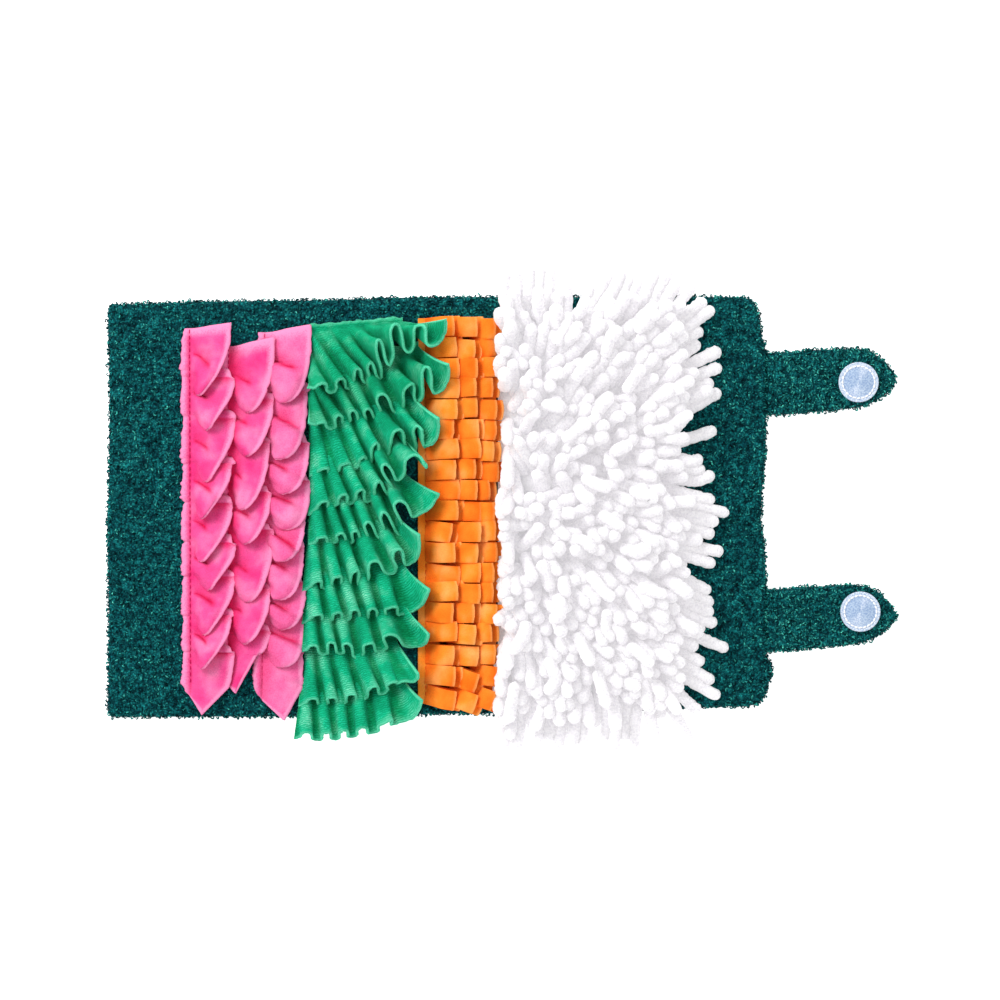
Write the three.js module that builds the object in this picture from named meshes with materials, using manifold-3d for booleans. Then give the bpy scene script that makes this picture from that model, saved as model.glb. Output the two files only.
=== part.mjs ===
// Rolled-sushi snuffle mat for pets, lying open and flat.
// A curly-pile mat carries three pink pleated frills, ten green ruffles, three orange
// strips of cut loops and a field of white chenille noodles. Two straps with sewn-on
// fastener discs leave its right edge. Millimetres, +Z up, origin at the middle of the
// mat's underside, +X towards the straps.

import * as THREE from 'three';
import { mergeVertices } from 'three/addons/utils/BufferGeometryUtils.js';
import Module from 'manifold-3d';

const wasm = await Module();
wasm.setup();

// ---- Driving dimensions -------------------------------------------------------------

const CLEARANCE = 0.3;            // between pieces that are sewn together
const MAT_THICKNESS = 7;          // curly cloth on both sides, pile included
const STRAP_THICKNESS = 6;
const ROLLED_EDGE = 1.8;          // how far the turned edges of mat and straps round off
const MAT_TOP = MAT_THICKNESS + CLEARANCE;   // where everything sewn on the mat begins

const FLEECE = 1.8;               // thickness of the pink and green fleece
const LOOP_FLEECE = 1.4;          // thickness of the orange loop fleece

const DISC = { radius: 10, thickness: 1.6, rim: 0.5, sides: 18 };

const STRAPS = [
  { name: 'strap_upper', disc: 'disc_upper', middle: 61.2, discX: 210.3, discY: 62.2 },
  { name: 'strap_lower', disc: 'disc_lower', middle: -56.8, discX: 211.2, discY: -52.2 },
];
const STRAP_ROOT = 165 + CLEARANCE;   // the straps leave the mat's right edge here
const STRAP = { halfWidth: 16.2, straight: 50, length: 65.5, drift: 5.4 };

// ---- Finishes -----------------------------------------------------------------------

const finish = (color, roughness) => new THREE.MeshStandardMaterial({ color, roughness, metalness: 0 });
const CURLY_GREEN = finish(0x0a5a4c, 0.95);
const FLEECE_PINK = finish(0xff6aad, 0.85);
const FLEECE_GREEN = finish(0x12ab72, 0.8);
const FLEECE_ORANGE = finish(0xff8226, 0.85);
const CHENILLE_WHITE = finish(0xf4f2f8, 0.95);
const FASTENER_BLUE = finish(0xb9cbe6, 0.6);

// ---- Helpers ------------------------------------------------------------------------

const group = new THREE.Group();
const radians = THREE.MathUtils.degToRad;
const blend = THREE.MathUtils.lerp;
const direction = (from, to) => to.clone().sub(from).normalize();
const sum = (values) => values.reduce((total, value) => total + value, 0);

function addPart(name, geometry, material) {
  const mesh = new THREE.Mesh(geometry, material);
  mesh.name = name;
  group.add(mesh);
  return mesh;
}

// A padded cloth panel: the outline with its edge rolled over, above and below.
function panel(shape, thickness, steps) {
  const geometry = new THREE.ExtrudeGeometry(shape, {
    depth: thickness - 2 * ROLLED_EDGE,
    bevelThickness: ROLLED_EDGE,
    bevelSize: ROLLED_EDGE,
    bevelOffset: -ROLLED_EDGE,
    bevelSegments: 1,
    curveSegments: steps,
  });
  return geometry.translate(0, 0, ROLLED_EDGE);
}

// A closed sheet: rows of middle points, thickened by half to each side.
function sheet(rows, thickness) {
  const along = rows.length;
  const across = rows[0].length;
  const at = (i, j) => rows[THREE.MathUtils.clamp(i, 0, along - 1)][THREE.MathUtils.clamp(j, 0, across - 1)];
  const positions = [];
  for (const side of [1, -1]) {
    for (let i = 0; i < along; i += 1) {
      for (let j = 0; j < across; j += 1) {
        const here = at(i, j);
        const du = direction(at(i - 1, j), here).add(direction(here, at(i + 1, j)));
        const dv = direction(here, at(i, j + 1)).add(direction(at(i, j - 1), here));
        const offset = du.cross(dv).normalize().multiplyScalar(side * thickness / 2);
        positions.push(...offset.add(here).toArray());
      }
    }
  }
  const top = (i, j) => i * across + j;
  const under = (i, j) => along * across + top(i, j);
  const index = [];
  const quad = (a, b, c, d) => index.push(a, b, c, a, c, d);
  for (let i = 0; i < along - 1; i += 1) {
    for (let j = 0; j < across - 1; j += 1) {
      quad(top(i, j), top(i + 1, j), top(i + 1, j + 1), top(i, j + 1));
      quad(under(i, j), under(i, j + 1), under(i + 1, j + 1), under(i + 1, j));
    }
    quad(top(i, 0), under(i, 0), under(i + 1, 0), top(i + 1, 0));
    quad(top(i, across - 1), top(i + 1, across - 1), under(i + 1, across - 1), under(i, across - 1));
  }
  for (let j = 0; j < across - 1; j += 1) {
    quad(top(0, j), top(0, j + 1), under(0, j + 1), under(0, j));
    quad(top(along - 1, j), under(along - 1, j), under(along - 1, j + 1), top(along - 1, j + 1));
  }
  const geometry = new THREE.BufferGeometry();
  geometry.setAttribute('position', new THREE.Float32BufferAttribute(positions, 3));
  geometry.setIndex(index);
  return geometry;
}

function toSolid(geometry) {
  const bare = geometry.clone();
  bare.deleteAttribute('normal');
  bare.deleteAttribute('uv');
  const merged = mergeVertices(bare, 1e-4);
  return new wasm.Manifold(new wasm.Mesh({
    numProp: 3,
    vertProperties: Float32Array.from(merged.attributes.position.array),
    triVerts: Uint32Array.from(merged.index.array),
  }));
}

function toGeometry(solid) {
  const { vertProperties, triVerts } = solid.getMesh();
  const geometry = new THREE.BufferGeometry();
  geometry.setAttribute('position', new THREE.BufferAttribute(Float32Array.from(vertProperties), 3));
  geometry.setIndex(new THREE.BufferAttribute(Uint32Array.from(triVerts), 1));
  return geometry;
}

const joined = (geometries) => toGeometry(geometries.map(toSolid).reduce((all, one) => all.add(one)));

// ---- The mat ------------------------------------------------------------------------

function matOutline() {
  const outline = new THREE.Shape();
  outline.moveTo(-161, 101.8);
  outline.quadraticCurveTo(-164.6, 101.6, -164.8, 98);
  outline.lineTo(-163.6, 40);
  outline.lineTo(-165.2, -10);
  outline.lineTo(-164.4, -60);
  outline.lineTo(-165, -101);
  outline.quadraticCurveTo(-165, -105.4, -160, -105.4);
  outline.lineTo(-60, -105);
  outline.lineTo(30, -103.6);
  outline.lineTo(155, -100);
  outline.quadraticCurveTo(164, -99.6, 165, -92);
  outline.lineTo(168, -84);
  outline.quadraticCurveTo(168.4, -78, 165, -74.5);
  outline.lineTo(165, -38);
  outline.quadraticCurveTo(164.6, -20, 162.2, -6);
  outline.quadraticCurveTo(162.6, 10, 164.8, 26);
  outline.lineTo(165, 44.5);
  outline.lineTo(165, 78);
  outline.quadraticCurveTo(162.2, 84, 162, 92);
  outline.quadraticCurveTo(161.4, 105, 152, 105.4);
  outline.lineTo(20, 105.4);
  outline.lineTo(-80, 103.6);
  outline.closePath();
  return outline;
}

// ---- Straps and their discs ---------------------------------------------------------

function strapOutline(middle) {
  const { halfWidth, straight, length, drift } = STRAP;
  const end = STRAP_ROOT + straight;
  const outline = new THREE.Shape();
  outline.moveTo(STRAP_ROOT, middle - halfWidth);
  outline.lineTo(STRAP_ROOT + 18, middle - halfWidth + 1.4);
  outline.lineTo(end - 3, middle - halfWidth + 4.4);
  outline.quadraticCurveTo(end + 9, middle - 8, STRAP_ROOT + length, middle + drift - 3.6);
  outline.quadraticCurveTo(end + 10, middle + 14, end, middle + halfWidth + 1.4);
  outline.quadraticCurveTo(end - 5, middle + halfWidth + 3, end - 20, middle + halfWidth + 1.8);
  outline.lineTo(STRAP_ROOT, middle + halfWidth);
  outline.closePath();
  return outline;
}

function fastenerDisc() {
  const { radius, thickness, rim, sides } = DISC;
  const profile = [[0, 0], [radius, 0], [radius - rim, thickness], [0, thickness]];
  const disc = new THREE.LatheGeometry(profile.map(([x, y]) => new THREE.Vector2(x, y)), sides);
  return disc.rotateX(Math.PI / 2);
}

// ---- Frills: strips sewn along one edge, whose free edge stands in folds --------------

// How a fold rises and falls along the seam: share of the fold's width, share of its height.
const KNIFE_PLEAT = [
  { along: 0, height: 0 },
  { along: 0.27, height: 0.3 },
  { along: 0.53, height: 0.8 },
  { along: 0.7, height: 1 },
  { along: 0.88, height: 0.5 },
];
const ROUND_FLUTE = [
  { along: 0, height: 0 },
  { along: 0.28, height: 0.72 },
  { along: 0.5, height: 1 },
  { along: 0.74, height: 0.62 },
];
const ACROSS = [0.5, 1];          // rows of points between the seam and the free edge
const RISE_POWER = 1.3;           // a frill lies low by its seam and rises towards its edge
const SEAM_MARGIN = 3.4;          // cloth beyond the stitches, on the far side of the seam

// One line of cloth from the seam to the free edge. Angles are in degrees: hang is the
// direction in plan, lean turns it along the seam, lift raises it.
function clothLine(frill, share, height) {
  const seam = new THREE.Vector2().lerpVectors(frill.start, frill.end, share);
  const hang = blend(frill.hang[0], frill.hang[1], share);
  const turned = radians(hang + blend(frill.trough.lean, frill.crest.lean, height));
  const lift = radians(blend(frill.trough.lift, frill.crest.lift, height));
  const reach = blend(frill.reach[0], frill.reach[1], share);
  const base = MAT_TOP + FLEECE / 2;
  const back = radians(frill.hang[0]);
  const line = [new THREE.Vector3(
    seam.x - SEAM_MARGIN * Math.cos(back),
    seam.y - SEAM_MARGIN * Math.sin(back),
    base,
  )];
  for (const part of ACROSS) {
    const flat = reach * part * Math.cos(lift);
    line.push(new THREE.Vector3(
      seam.x + flat * Math.cos(turned),
      seam.y + flat * Math.sin(turned),
      base + reach * Math.sin(lift) * part ** RISE_POWER,
    ));
  }
  return line;
}

function frillSheet(frill, fold) {
  const width = sum(frill.folds);
  const rows = [];
  let begun = 0;
  frill.folds.forEach((foldWidth, number) => {
    const uneven = 0.9 + 0.1 * Math.cos(2.3 * number + frill.folds.length);
    for (const { along, height } of fold) {
      rows.push(clothLine(frill, (begun + along * foldWidth) / width, height * uneven));
    }
    begun += foldWidth;
  });
  rows.push(clothLine(frill, 1, frill.lastHeight));
  return sheet(rows, FLEECE);
}

const point = (x, y) => new THREE.Vector2(x, y);

// Pink knife-pleated frills: seams run down, the cloth hangs to the right, pleats lap down.
const PINK_TROUGH = { lean: 3, lift: 10 };
const PINK_CREST = { lean: -37, lift: 29 };
const PINK_FRILLS = [
  { start: point(-123, 89), end: point(-122.5, -88), folds: [24, 20, 24, 19, 20, 17, 20, 18, 16], reach: [22, 22] },
  { start: point(-103.5, 80), end: point(-103.8, -80), folds: [27, 22, 25, 18, 30, 20, 18], reach: [22, 21] },
  { start: point(-85.5, 87), end: point(-87, -88), folds: [29, 26, 19, 17, 16, 18, 17, 18, 15], reach: [22, 17.5] },
];

// Green ruffles: seams run to the right, the cloth hangs down and fans out at the right end.
const GREEN_TROUGH = { lean: -4, lift: 15.5 };
const GREEN_CREST = { lean: 8, lift: 33 };
const GREEN_FRILLS = [
  { start: point(-61.5, 90), end: point(-20, 91), hang: [-72, -8], reach: [30, 27], folds: 6 },
  { start: point(-61.5, 70), end: point(-19, 73), hang: [-80, -17], reach: [31, 27], folds: 7 },
  { start: point(-61.5, 50), end: point(-21, 52), hang: [-86, -24], reach: [33, 27], folds: 7 },
  { start: point(-61, 31), end: point(-24, 34), hang: [-88, -34], reach: [33, 26], folds: 6 },
  { start: point(-60.5, 11), end: point(-22, 14), hang: [-88, -25], reach: [31, 26], folds: 7 },
  { start: point(-61, -8), end: point(-26, -2), hang: [-94, -35], reach: [33, 25], folds: 6 },
  { start: point(-61, -28), end: point(-24, -22), hang: [-93, -34], reach: [30, 27], folds: 6 },
  { start: point(-61, -48), end: point(-24, -43), hang: [-92, -40], reach: [27, 27], folds: 6 },
  { start: point(-62, -68), end: point(-27, -63), hang: [-98, -42], reach: [32, 25], folds: 6 },
  { start: point(-63, -87), end: point(-25, -80), hang: [-102, -40], reach: [29, 24], folds: 6 },
];
const FLUTE_WIDTHS = [1, 0.84, 1.12, 0.9, 1.06, 0.94, 1];   // relative, along each ruffle

// ---- Orange strips of cut loops -------------------------------------------------------

const LOOP_ROWS = [
  { name: 'orange_loops_1', seam: -4.8, length: 18.8, slope: 25 },
  { name: 'orange_loops_2', seam: 5.8, length: 18.8, slope: 25 },
  { name: 'orange_loops_3', seam: 16.8, length: 15, slope: 20 },
];
const LOOPS = { first: 94, last: -98, count: 19, slit: 0.7, spine: 4.6, depth: 8, stem: 0.46 };
const LOOP_FAN = { from: 15, step: 7 };   // the last loops turn downwards, each a little more
const LOOP_UNEVEN = 0.6;                  // how far the loops' lengths differ, up or down

// The bends of a loop's open end: how far back from its tip, and how high, as shares of
// the loop's depth.
const LOOP_END = {
  floor: { back: 0.4, height: 0 },
  tip: { back: 0, height: 0.45 },
  crown: { back: 0.3, height: 1 },
  shoulder: { back: 0.76, height: 0.85 },
};

// Section of one loop, seen along the strip: a thin doubled stem that opens to a round end.
function loopSection(length) {
  const cloth = LOOP_FLEECE;
  const stem = LOOPS.stem * length;
  const { floor, tip, crown, shoulder } = LOOP_END;
  const bend = ({ back, height }, inset = 0, drop = 0) => [
    length - back * LOOPS.depth - inset,
    height * LOOPS.depth - drop,
  ];
  const outer = new THREE.Shape();
  outer.moveTo(0, 0);
  outer.lineTo(...bend(floor));
  outer.lineTo(...bend(tip));
  outer.lineTo(...bend(crown));
  outer.lineTo(...bend(shoulder));
  outer.lineTo(stem - cloth, cloth * 2.1);
  outer.lineTo(0, cloth * 2);
  outer.closePath();
  const inner = new THREE.Path();
  inner.moveTo(stem, cloth);
  inner.lineTo(...bend(floor, cloth * 0.3, -cloth));
  inner.lineTo(...bend(tip, cloth * 1.1));
  inner.lineTo(...bend(crown, cloth * 0.6, cloth * 1.1));
  inner.closePath();
  outer.holes.push(inner);
  return outer;
}

function loopStrip({ seam, length, slope }) {
  const pitch = (LOOPS.first - LOOPS.last) / LOOPS.count;
  const spine = new THREE.BoxGeometry(LOOPS.spine + 1, LOOPS.first - LOOPS.last, LOOP_FLEECE);
  spine.translate(seam - LOOPS.spine / 2 + 0.5, (LOOPS.first + LOOPS.last) / 2, MAT_TOP + LOOP_FLEECE / 2);
  const pieces = [spine];
  for (let number = 0; number < LOOPS.count; number += 1) {
    const uneven = LOOP_UNEVEN * Math.sin(2.1 * number + seam);
    const turn = -LOOP_FAN.step * Math.max(0, number - LOOP_FAN.from) + 1.2 * uneven;
    const loop = new THREE.ExtrudeGeometry(loopSection(length + uneven), {
      depth: pitch - LOOPS.slit,
      bevelEnabled: false,
    });
    loop.rotateX(Math.PI / 2);
    loop.rotateY(-radians(slope - 2 * uneven));
    loop.rotateZ(radians(turn));
    loop.translate(seam, LOOPS.first - number * pitch - LOOPS.slit / 2, MAT_TOP + 0.1);
    pieces.push(loop);
  }
  return joined(pieces);
}

// ---- White chenille noodles -----------------------------------------------------------

const PILE = { left: 38.5, right: 118, bottom: -93, top: 94, columns: 7, rows: 12 };
const NOODLE = { radius: 4, length: 24.5, sides: 4, root: 4.6 };
const PILE_BASE = [                 // the matted foot of the pile, one ring at each height
  { out: 1, height: 0 },
  { out: 5, height: 6 },
  { out: -4, height: 12 },
];
const PILE_LEFT = { inset: 2, share: 1 / 3 };   // the foot spreads less beside the loops
const PILE_LEAN = { left: -0.2, right: 2.1, ends: 2.4, stray: 0.3, rimLift: 0.3 };

function pileBase() {
  const { left, right, bottom, top } = PILE;
  const rings = PILE_BASE.map(({ out, height }) => {
    const leftSide = left - PILE_LEFT.inset - out * PILE_LEFT.share;
    return [
      [leftSide, bottom - out, height],
      [right + out, bottom - out, height],
      [right + out, top + out, height],
      [leftSide, top + out, height],
    ];
  });
  const positions = rings.flat().flatMap(([x, y, z]) => [x, y, z + MAT_TOP]);
  const last = (rings.length - 1) * 4;
  const index = [0, 2, 1, 0, 3, 2, last, last + 1, last + 2, last, last + 2, last + 3];
  for (let corner = 0; corner < last; corner += 1) {
    const next = corner - (corner % 4) + ((corner + 1) % 4);
    index.push(corner, next, next + 4, corner, next + 4, corner + 4);
  }
  const geometry = new THREE.BufferGeometry();
  geometry.setAttribute('position', new THREE.Float32BufferAttribute(positions, 3));
  geometry.setIndex(index);
  return geometry;
}

function noodle(length) {
  const { radius, sides } = NOODLE;
  const profile = [[0, 0], [radius, 0], [radius, length - radius], [0, length]];
  return new THREE.LatheGeometry(profile.map(([x, y]) => new THREE.Vector2(x, y)), sides);
}

// Noodles stand in the middle, and lean outwards more and more towards the rim.
function noodleDirection(column, row) {
  const across = column / (PILE.columns - 1);
  const along = 2 * row / (PILE.rows - 1) - 1;
  const { left, right, ends, stray, rimLift } = PILE_LEAN;
  const x = column === 0 ? left : right * across ** 2 + stray * Math.sin(2.7 * column + 1.9 * row);
  const y = ends * Math.sign(along) * Math.abs(along) ** 6 + stray * Math.cos(1.7 * column + 2.3 * row);
  const rim = column === PILE.columns - 1 || Math.abs(along) === 1;
  return new THREE.Vector3(x, y, rim ? rimLift : 1).normalize();
}

function noodlePile() {
  const { left, right, bottom, top, columns, rows } = PILE;
  const up = new THREE.Vector3(0, 1, 0);
  const pieces = [pileBase()];
  for (let column = 0; column < columns; column += 1) {
    for (let row = 0; row < rows; row += 1) {
      const strand = noodle(NOODLE.length + 1.5 * Math.sin(2.7 * column + 1.9 * row));
      strand.applyQuaternion(new THREE.Quaternion().setFromUnitVectors(up, noodleDirection(column, row)));
      strand.translate(
        blend(left, right, column / (columns - 1)),
        blend(bottom, top, row / (rows - 1)),
        MAT_TOP + NOODLE.root,
      );
      pieces.push(strand);
    }
  }
  return joined(pieces);
}

// ---- The whole toy --------------------------------------------------------------------

addPart('base_mat', panel(matOutline(), MAT_THICKNESS, 3), CURLY_GREEN);

for (const strap of STRAPS) {
  addPart(strap.name, panel(strapOutline(strap.middle), STRAP_THICKNESS, 4), CURLY_GREEN);
  const disc = addPart(strap.disc, fastenerDisc(), FASTENER_BLUE);
  disc.position.set(strap.discX, strap.discY, STRAP_THICKNESS + CLEARANCE);
}

PINK_FRILLS.forEach((frill, number) => {
  const shaped = { ...frill, hang: [0, 0], trough: PINK_TROUGH, crest: PINK_CREST, lastHeight: 0.3 };
  addPart(`pink_frill_${number + 1}`, frillSheet(shaped, KNIFE_PLEAT), FLEECE_PINK);
});

GREEN_FRILLS.forEach((frill, number) => {
  const folds = FLUTE_WIDTHS.slice(0, frill.folds);
  const shaped = { ...frill, folds, trough: GREEN_TROUGH, crest: GREEN_CREST, lastHeight: 0.8 };
  addPart(`green_frill_${number + 1}`, frillSheet(shaped, ROUND_FLUTE), FLEECE_GREEN);
});

for (const row of LOOP_ROWS) {
  addPart(row.name, loopStrip(row), FLEECE_ORANGE);
}

addPart('noodle_pile', noodlePile(), CHENILLE_WHITE);

export default group;
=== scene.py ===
"""Rolled-sushi snuffle mat, lying open: its cloths, curls and noodles, dressed over the frame.

Each sub-assembly is a class that holds its sizes in millimetres, builds its pieces and dresses
them: the curly mat and its straps, the sewn-on fastener discs, the pink pleated frills, the
green ruffles, the orange strips of cut loops and the field of chenille noodles.
"""
import logging
import math
from dataclasses import dataclass
from enum import Enum
from typing import Callable, NamedTuple, Sequence

import bmesh
import bpy
import numpy as np
from mathutils import Matrix, Vector, noise
from mathutils.bvhtree import BVHTree


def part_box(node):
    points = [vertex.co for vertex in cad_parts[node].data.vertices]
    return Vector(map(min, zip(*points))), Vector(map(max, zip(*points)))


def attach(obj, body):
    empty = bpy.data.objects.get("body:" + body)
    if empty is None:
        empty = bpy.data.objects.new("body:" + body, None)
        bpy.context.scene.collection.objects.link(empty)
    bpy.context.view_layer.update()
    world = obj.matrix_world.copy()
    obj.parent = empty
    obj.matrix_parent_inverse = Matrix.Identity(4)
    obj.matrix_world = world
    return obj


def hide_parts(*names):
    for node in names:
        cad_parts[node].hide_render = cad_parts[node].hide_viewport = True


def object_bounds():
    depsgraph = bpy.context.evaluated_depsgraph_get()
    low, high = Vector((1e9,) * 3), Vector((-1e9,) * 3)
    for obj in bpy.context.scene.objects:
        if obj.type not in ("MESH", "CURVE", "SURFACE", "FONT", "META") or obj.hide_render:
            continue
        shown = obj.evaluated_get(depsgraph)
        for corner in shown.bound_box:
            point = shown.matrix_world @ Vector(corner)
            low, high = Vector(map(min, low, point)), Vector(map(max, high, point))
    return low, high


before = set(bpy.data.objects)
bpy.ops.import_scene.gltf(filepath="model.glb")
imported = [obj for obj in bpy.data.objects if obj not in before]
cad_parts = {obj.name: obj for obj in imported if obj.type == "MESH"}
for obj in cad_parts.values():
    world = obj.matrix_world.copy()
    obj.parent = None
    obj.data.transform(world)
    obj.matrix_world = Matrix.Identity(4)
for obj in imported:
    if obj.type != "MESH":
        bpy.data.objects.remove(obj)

MM = 0.001                       # the sizes below are in millimetres, the scene in metres
CAD_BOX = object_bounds()
CLOTH_MAP = 250.0                # millimetres of cloth across the whole of a sheet's map
MAT_TOP = 7.3                    # height of the mat's top
PILE_GAP = 0.15                  # gap between two cloths that lie on each other
FULL_THICKNESS = 1.6             # how far in from its cut edge a cloth has its full thickness
LOG = logging.getLogger("snuffle_mat")

Colour = tuple[float, float, float]
Socket = bpy.types.NodeSocket
Material = bpy.types.Material
Shape = bmesh.types.BMesh
Point = float | Vector | np.ndarray


def rgb(*levels: int) -> Colour:
    """The linear light of a colour that a screen shows, from red, green and blue up to 255."""
    shares = (level / 255 for level in levels)
    return tuple(share / 12.92 if share <= 0.04045 else ((share + 0.055) / 1.055) ** 2.4 for share in shares)


def grey(level: float) -> Colour:
    """A grey of that level."""
    return level, level, level


def blend(low: float, high: float, share: float) -> float:
    """Goes from low to high as share goes from 0 to 1."""
    return low + (high - low) * share


def ease(share: float) -> float:
    """Starts and ends softly as share goes from 0 to 1, and holds outside."""
    held = min(max(share, 0.0), 1.0)
    return held * held * (3 - 2 * held)


def ripple(x: float, y: float, z: float, size: float) -> float:
    """Smooth noise from -1 to 1 at a point, its bumps that many millimetres apart."""
    return noise.noise(Vector((x, y, z)) / size)


def spline(a: Point, b: Point, c: Point, d: Point, part: Point) -> Point:
    """The place between b, at part 0, and c, at part 1, on a smooth curve through all four."""
    return 0.5 * (2 * b + (c - a) * part + (2 * a - 5 * b + 4 * c - d) * part ** 2
                  + (3 * b - a - 3 * c + d) * part ** 3)


# ---- Finishes ------------------------------------------------------------------


class Mixing(Enum):
    """How two colours come together."""

    OVER = "MIX"
    TIMES = "MULTIPLY"


class Sum(Enum):
    """The sums that materials do."""

    TIMES = "MULTIPLY"
    TIMES_PLUS = "MULTIPLY_ADD"
    SHARE_OF = "DIVIDE"
    SINE = "SINE"


class Graph:
    """The shader nodes of one material, made one by one."""

    def __init__(self, name: str) -> None:
        """Starts an empty material.

        Args:
            name: The material's name.
        """
        self.material = bpy.data.materials.new(name)
        self.material.use_nodes = True
        self.tree = self.material.node_tree
        self.tree.nodes.clear()
        self.coordinates = self.node("ShaderNodeTexCoord").outputs["Object"]

    def node(self, kind: str, inputs: dict | None = None, **settings: object) -> bpy.types.Node:
        """Adds a node.

        Args:
            kind: The node's type name.
            inputs: Socket name or number to a value, a colour, or an output to link from.
            settings: The node's own properties.

        Returns:
            The new node.
        """
        made = self.tree.nodes.new(kind)
        for name, value in settings.items():
            setattr(made, name, value)
        for key, value in (inputs or {}).items():
            socket = made.inputs[key]
            if isinstance(value, Socket):
                self.tree.links.new(value, socket)
            else:
                socket.default_value = (*value, 1.0) if socket.type == "RGBA" else value
        return made

    def reckon(self, how: Sum, *values: float | Socket, clamp: bool = False) -> Socket:
        """Does a sum with those values, and holds it between 0 and 1 if asked."""
        inputs = dict(enumerate(values))
        return self.node("ShaderNodeMath", inputs, operation=how.value, use_clamp=clamp).outputs[0]

    def noise(self, size: float, detail: float = 2.0) -> Socket:
        """Noise on Object coordinates, its size in millimetres, with that many finer layers."""
        inputs = {"Vector": self.coordinates, "Scale": 1 / (size * MM), "Detail": detail}
        return self.node("ShaderNodeTexNoise", inputs).outputs[0]

    def cloth_noise(self, across: float, along: float, detail: float = 2.0) -> Socket:
        """Noise that follows the cloth, from the map of its cut sizes.

        Args:
            across: The pattern's size from the seam to the free edge, in millimetres.
            along: Its size along the seam.
            detail: How many finer layers it has.

        Returns:
            The noise's grey output.
        """
        flat = self.node("ShaderNodeUVMap", uv_map="UVMap").outputs[0]
        scale = (CLOTH_MAP / across, CLOTH_MAP / along, 1.0)
        mapped = self.node("ShaderNodeMapping", {"Vector": flat, "Scale": scale}).outputs[0]
        return self.node("ShaderNodeTexNoise", {"Vector": mapped, "Scale": 1.0, "Detail": detail}).outputs[0]

    def waves(self, place: Socket, turn: float, stray: Socket | float = 0.0) -> Socket:
        """Waves from -1 to 1 along a number, turn times it as their angle, moved on by stray."""
        return self.reckon(Sum.SINE, self.reckon(Sum.TIMES_PLUS, place, turn, stray))

    def cloth_rows(self, pitch: float) -> Socket:
        """Uneven rows along the cloth, parallel to its seam.

        Args:
            pitch: Distance from row to row, in millimetres.

        Returns:
            A grey from 0 to 1.
        """
        flat = self.node("ShaderNodeUVMap", uv_map="UVMap").outputs[0]
        out = self.node("ShaderNodeSeparateXYZ", {0: flat}).outputs[0]
        stray = self.reckon(Sum.TIMES, self.cloth_noise(1.5, 2.4, 1.5), 10.0)
        return self.reckon(Sum.TIMES_PLUS, self.waves(out, math.tau * CLOTH_MAP / pitch, stray), 0.5, 0.5)

    def attribute(self, name: str) -> Socket:
        """A number kept on the piece's points."""
        return self.node("ShaderNodeAttribute", attribute_name=name).outputs["Fac"]

    def ramp(self, level: Socket, *stops: tuple[float, Colour]) -> Socket:
        """Turns a grey into colours.

        Args:
            level: The output to read.
            stops: Each a place from 0 to 1 and its colour.

        Returns:
            The colour output.
        """
        made = self.node("ShaderNodeValToRGB", {0: level})
        elements = made.color_ramp.elements
        while len(elements) < len(stops):
            elements.new(0.5)
        for element, (place, colour) in zip(elements, stops):
            element.position = place
            element.color = (*colour, 1.0)
        return made.outputs[0]

    def mix(self, share: float | Socket, first: Colour | Socket, second: Colour | Socket,
            how: Mixing = Mixing.OVER) -> Socket:
        """Mixes two colours, with that share of the second."""
        inputs = {0: share, 6: first, 7: second}
        return self.node("ShaderNodeMix", inputs, data_type="RGBA", blend_type=how.value).outputs[2]

    def times(self, share: float | Socket, first: Colour | Socket, second: Colour | Socket) -> Socket:
        """Multiplies a colour by another, by that share of the effect."""
        return self.mix(share, first, second, Mixing.TIMES)

    def bump(self, height: Socket, depth: float, strength: float = 1.0, over: Socket | None = None) -> Socket:
        """A bumpy normal.

        Args:
            height: The grey output that stands for height.
            depth: The height of a full step, in millimetres.
            strength: How much of the bump shows.
            over: A normal output to add the bump to.

        Returns:
            The normal output.
        """
        inputs = {"Height": height, "Distance": depth * MM, "Strength": strength}
        if over is not None:
            inputs["Normal"] = over
        return self.node("ShaderNodeBump", inputs).outputs[0]

    def finish(self, colour: Colour | Socket, normal: Socket, roughness: float, sheen: float = 0.0,
               tint: Colour = (1, 1, 1), specular: float = 0.06, **more: float | Colour) -> Material:
        """Ends the material with a cloth shader.

        Args:
            colour: The base colour, or an output that gives it.
            normal: The normal output.
            roughness: The shader's roughness.
            sheen: How strongly fibres light up at a glancing angle.
            tint: The fibres' own colour.
            specular: Specular level.
            more: Any other input of the shader, its words joined by underscores.

        Returns:
            The finished material.
        """
        inputs = {
            "Base Color": colour,
            "Normal": normal,
            "Roughness": roughness,
            "Sheen Weight": sheen,
            "Sheen Roughness": 0.5,
            "Sheen Tint": tint,
            "Specular IOR Level": specular,
        }
        inputs.update({name.replace("_", " "): value for name, value in more.items()})
        shader = self.node("ShaderNodeBsdfPrincipled", inputs)
        self.node("ShaderNodeOutputMaterial", {"Surface": shader.outputs[0]})
        return self.material


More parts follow.
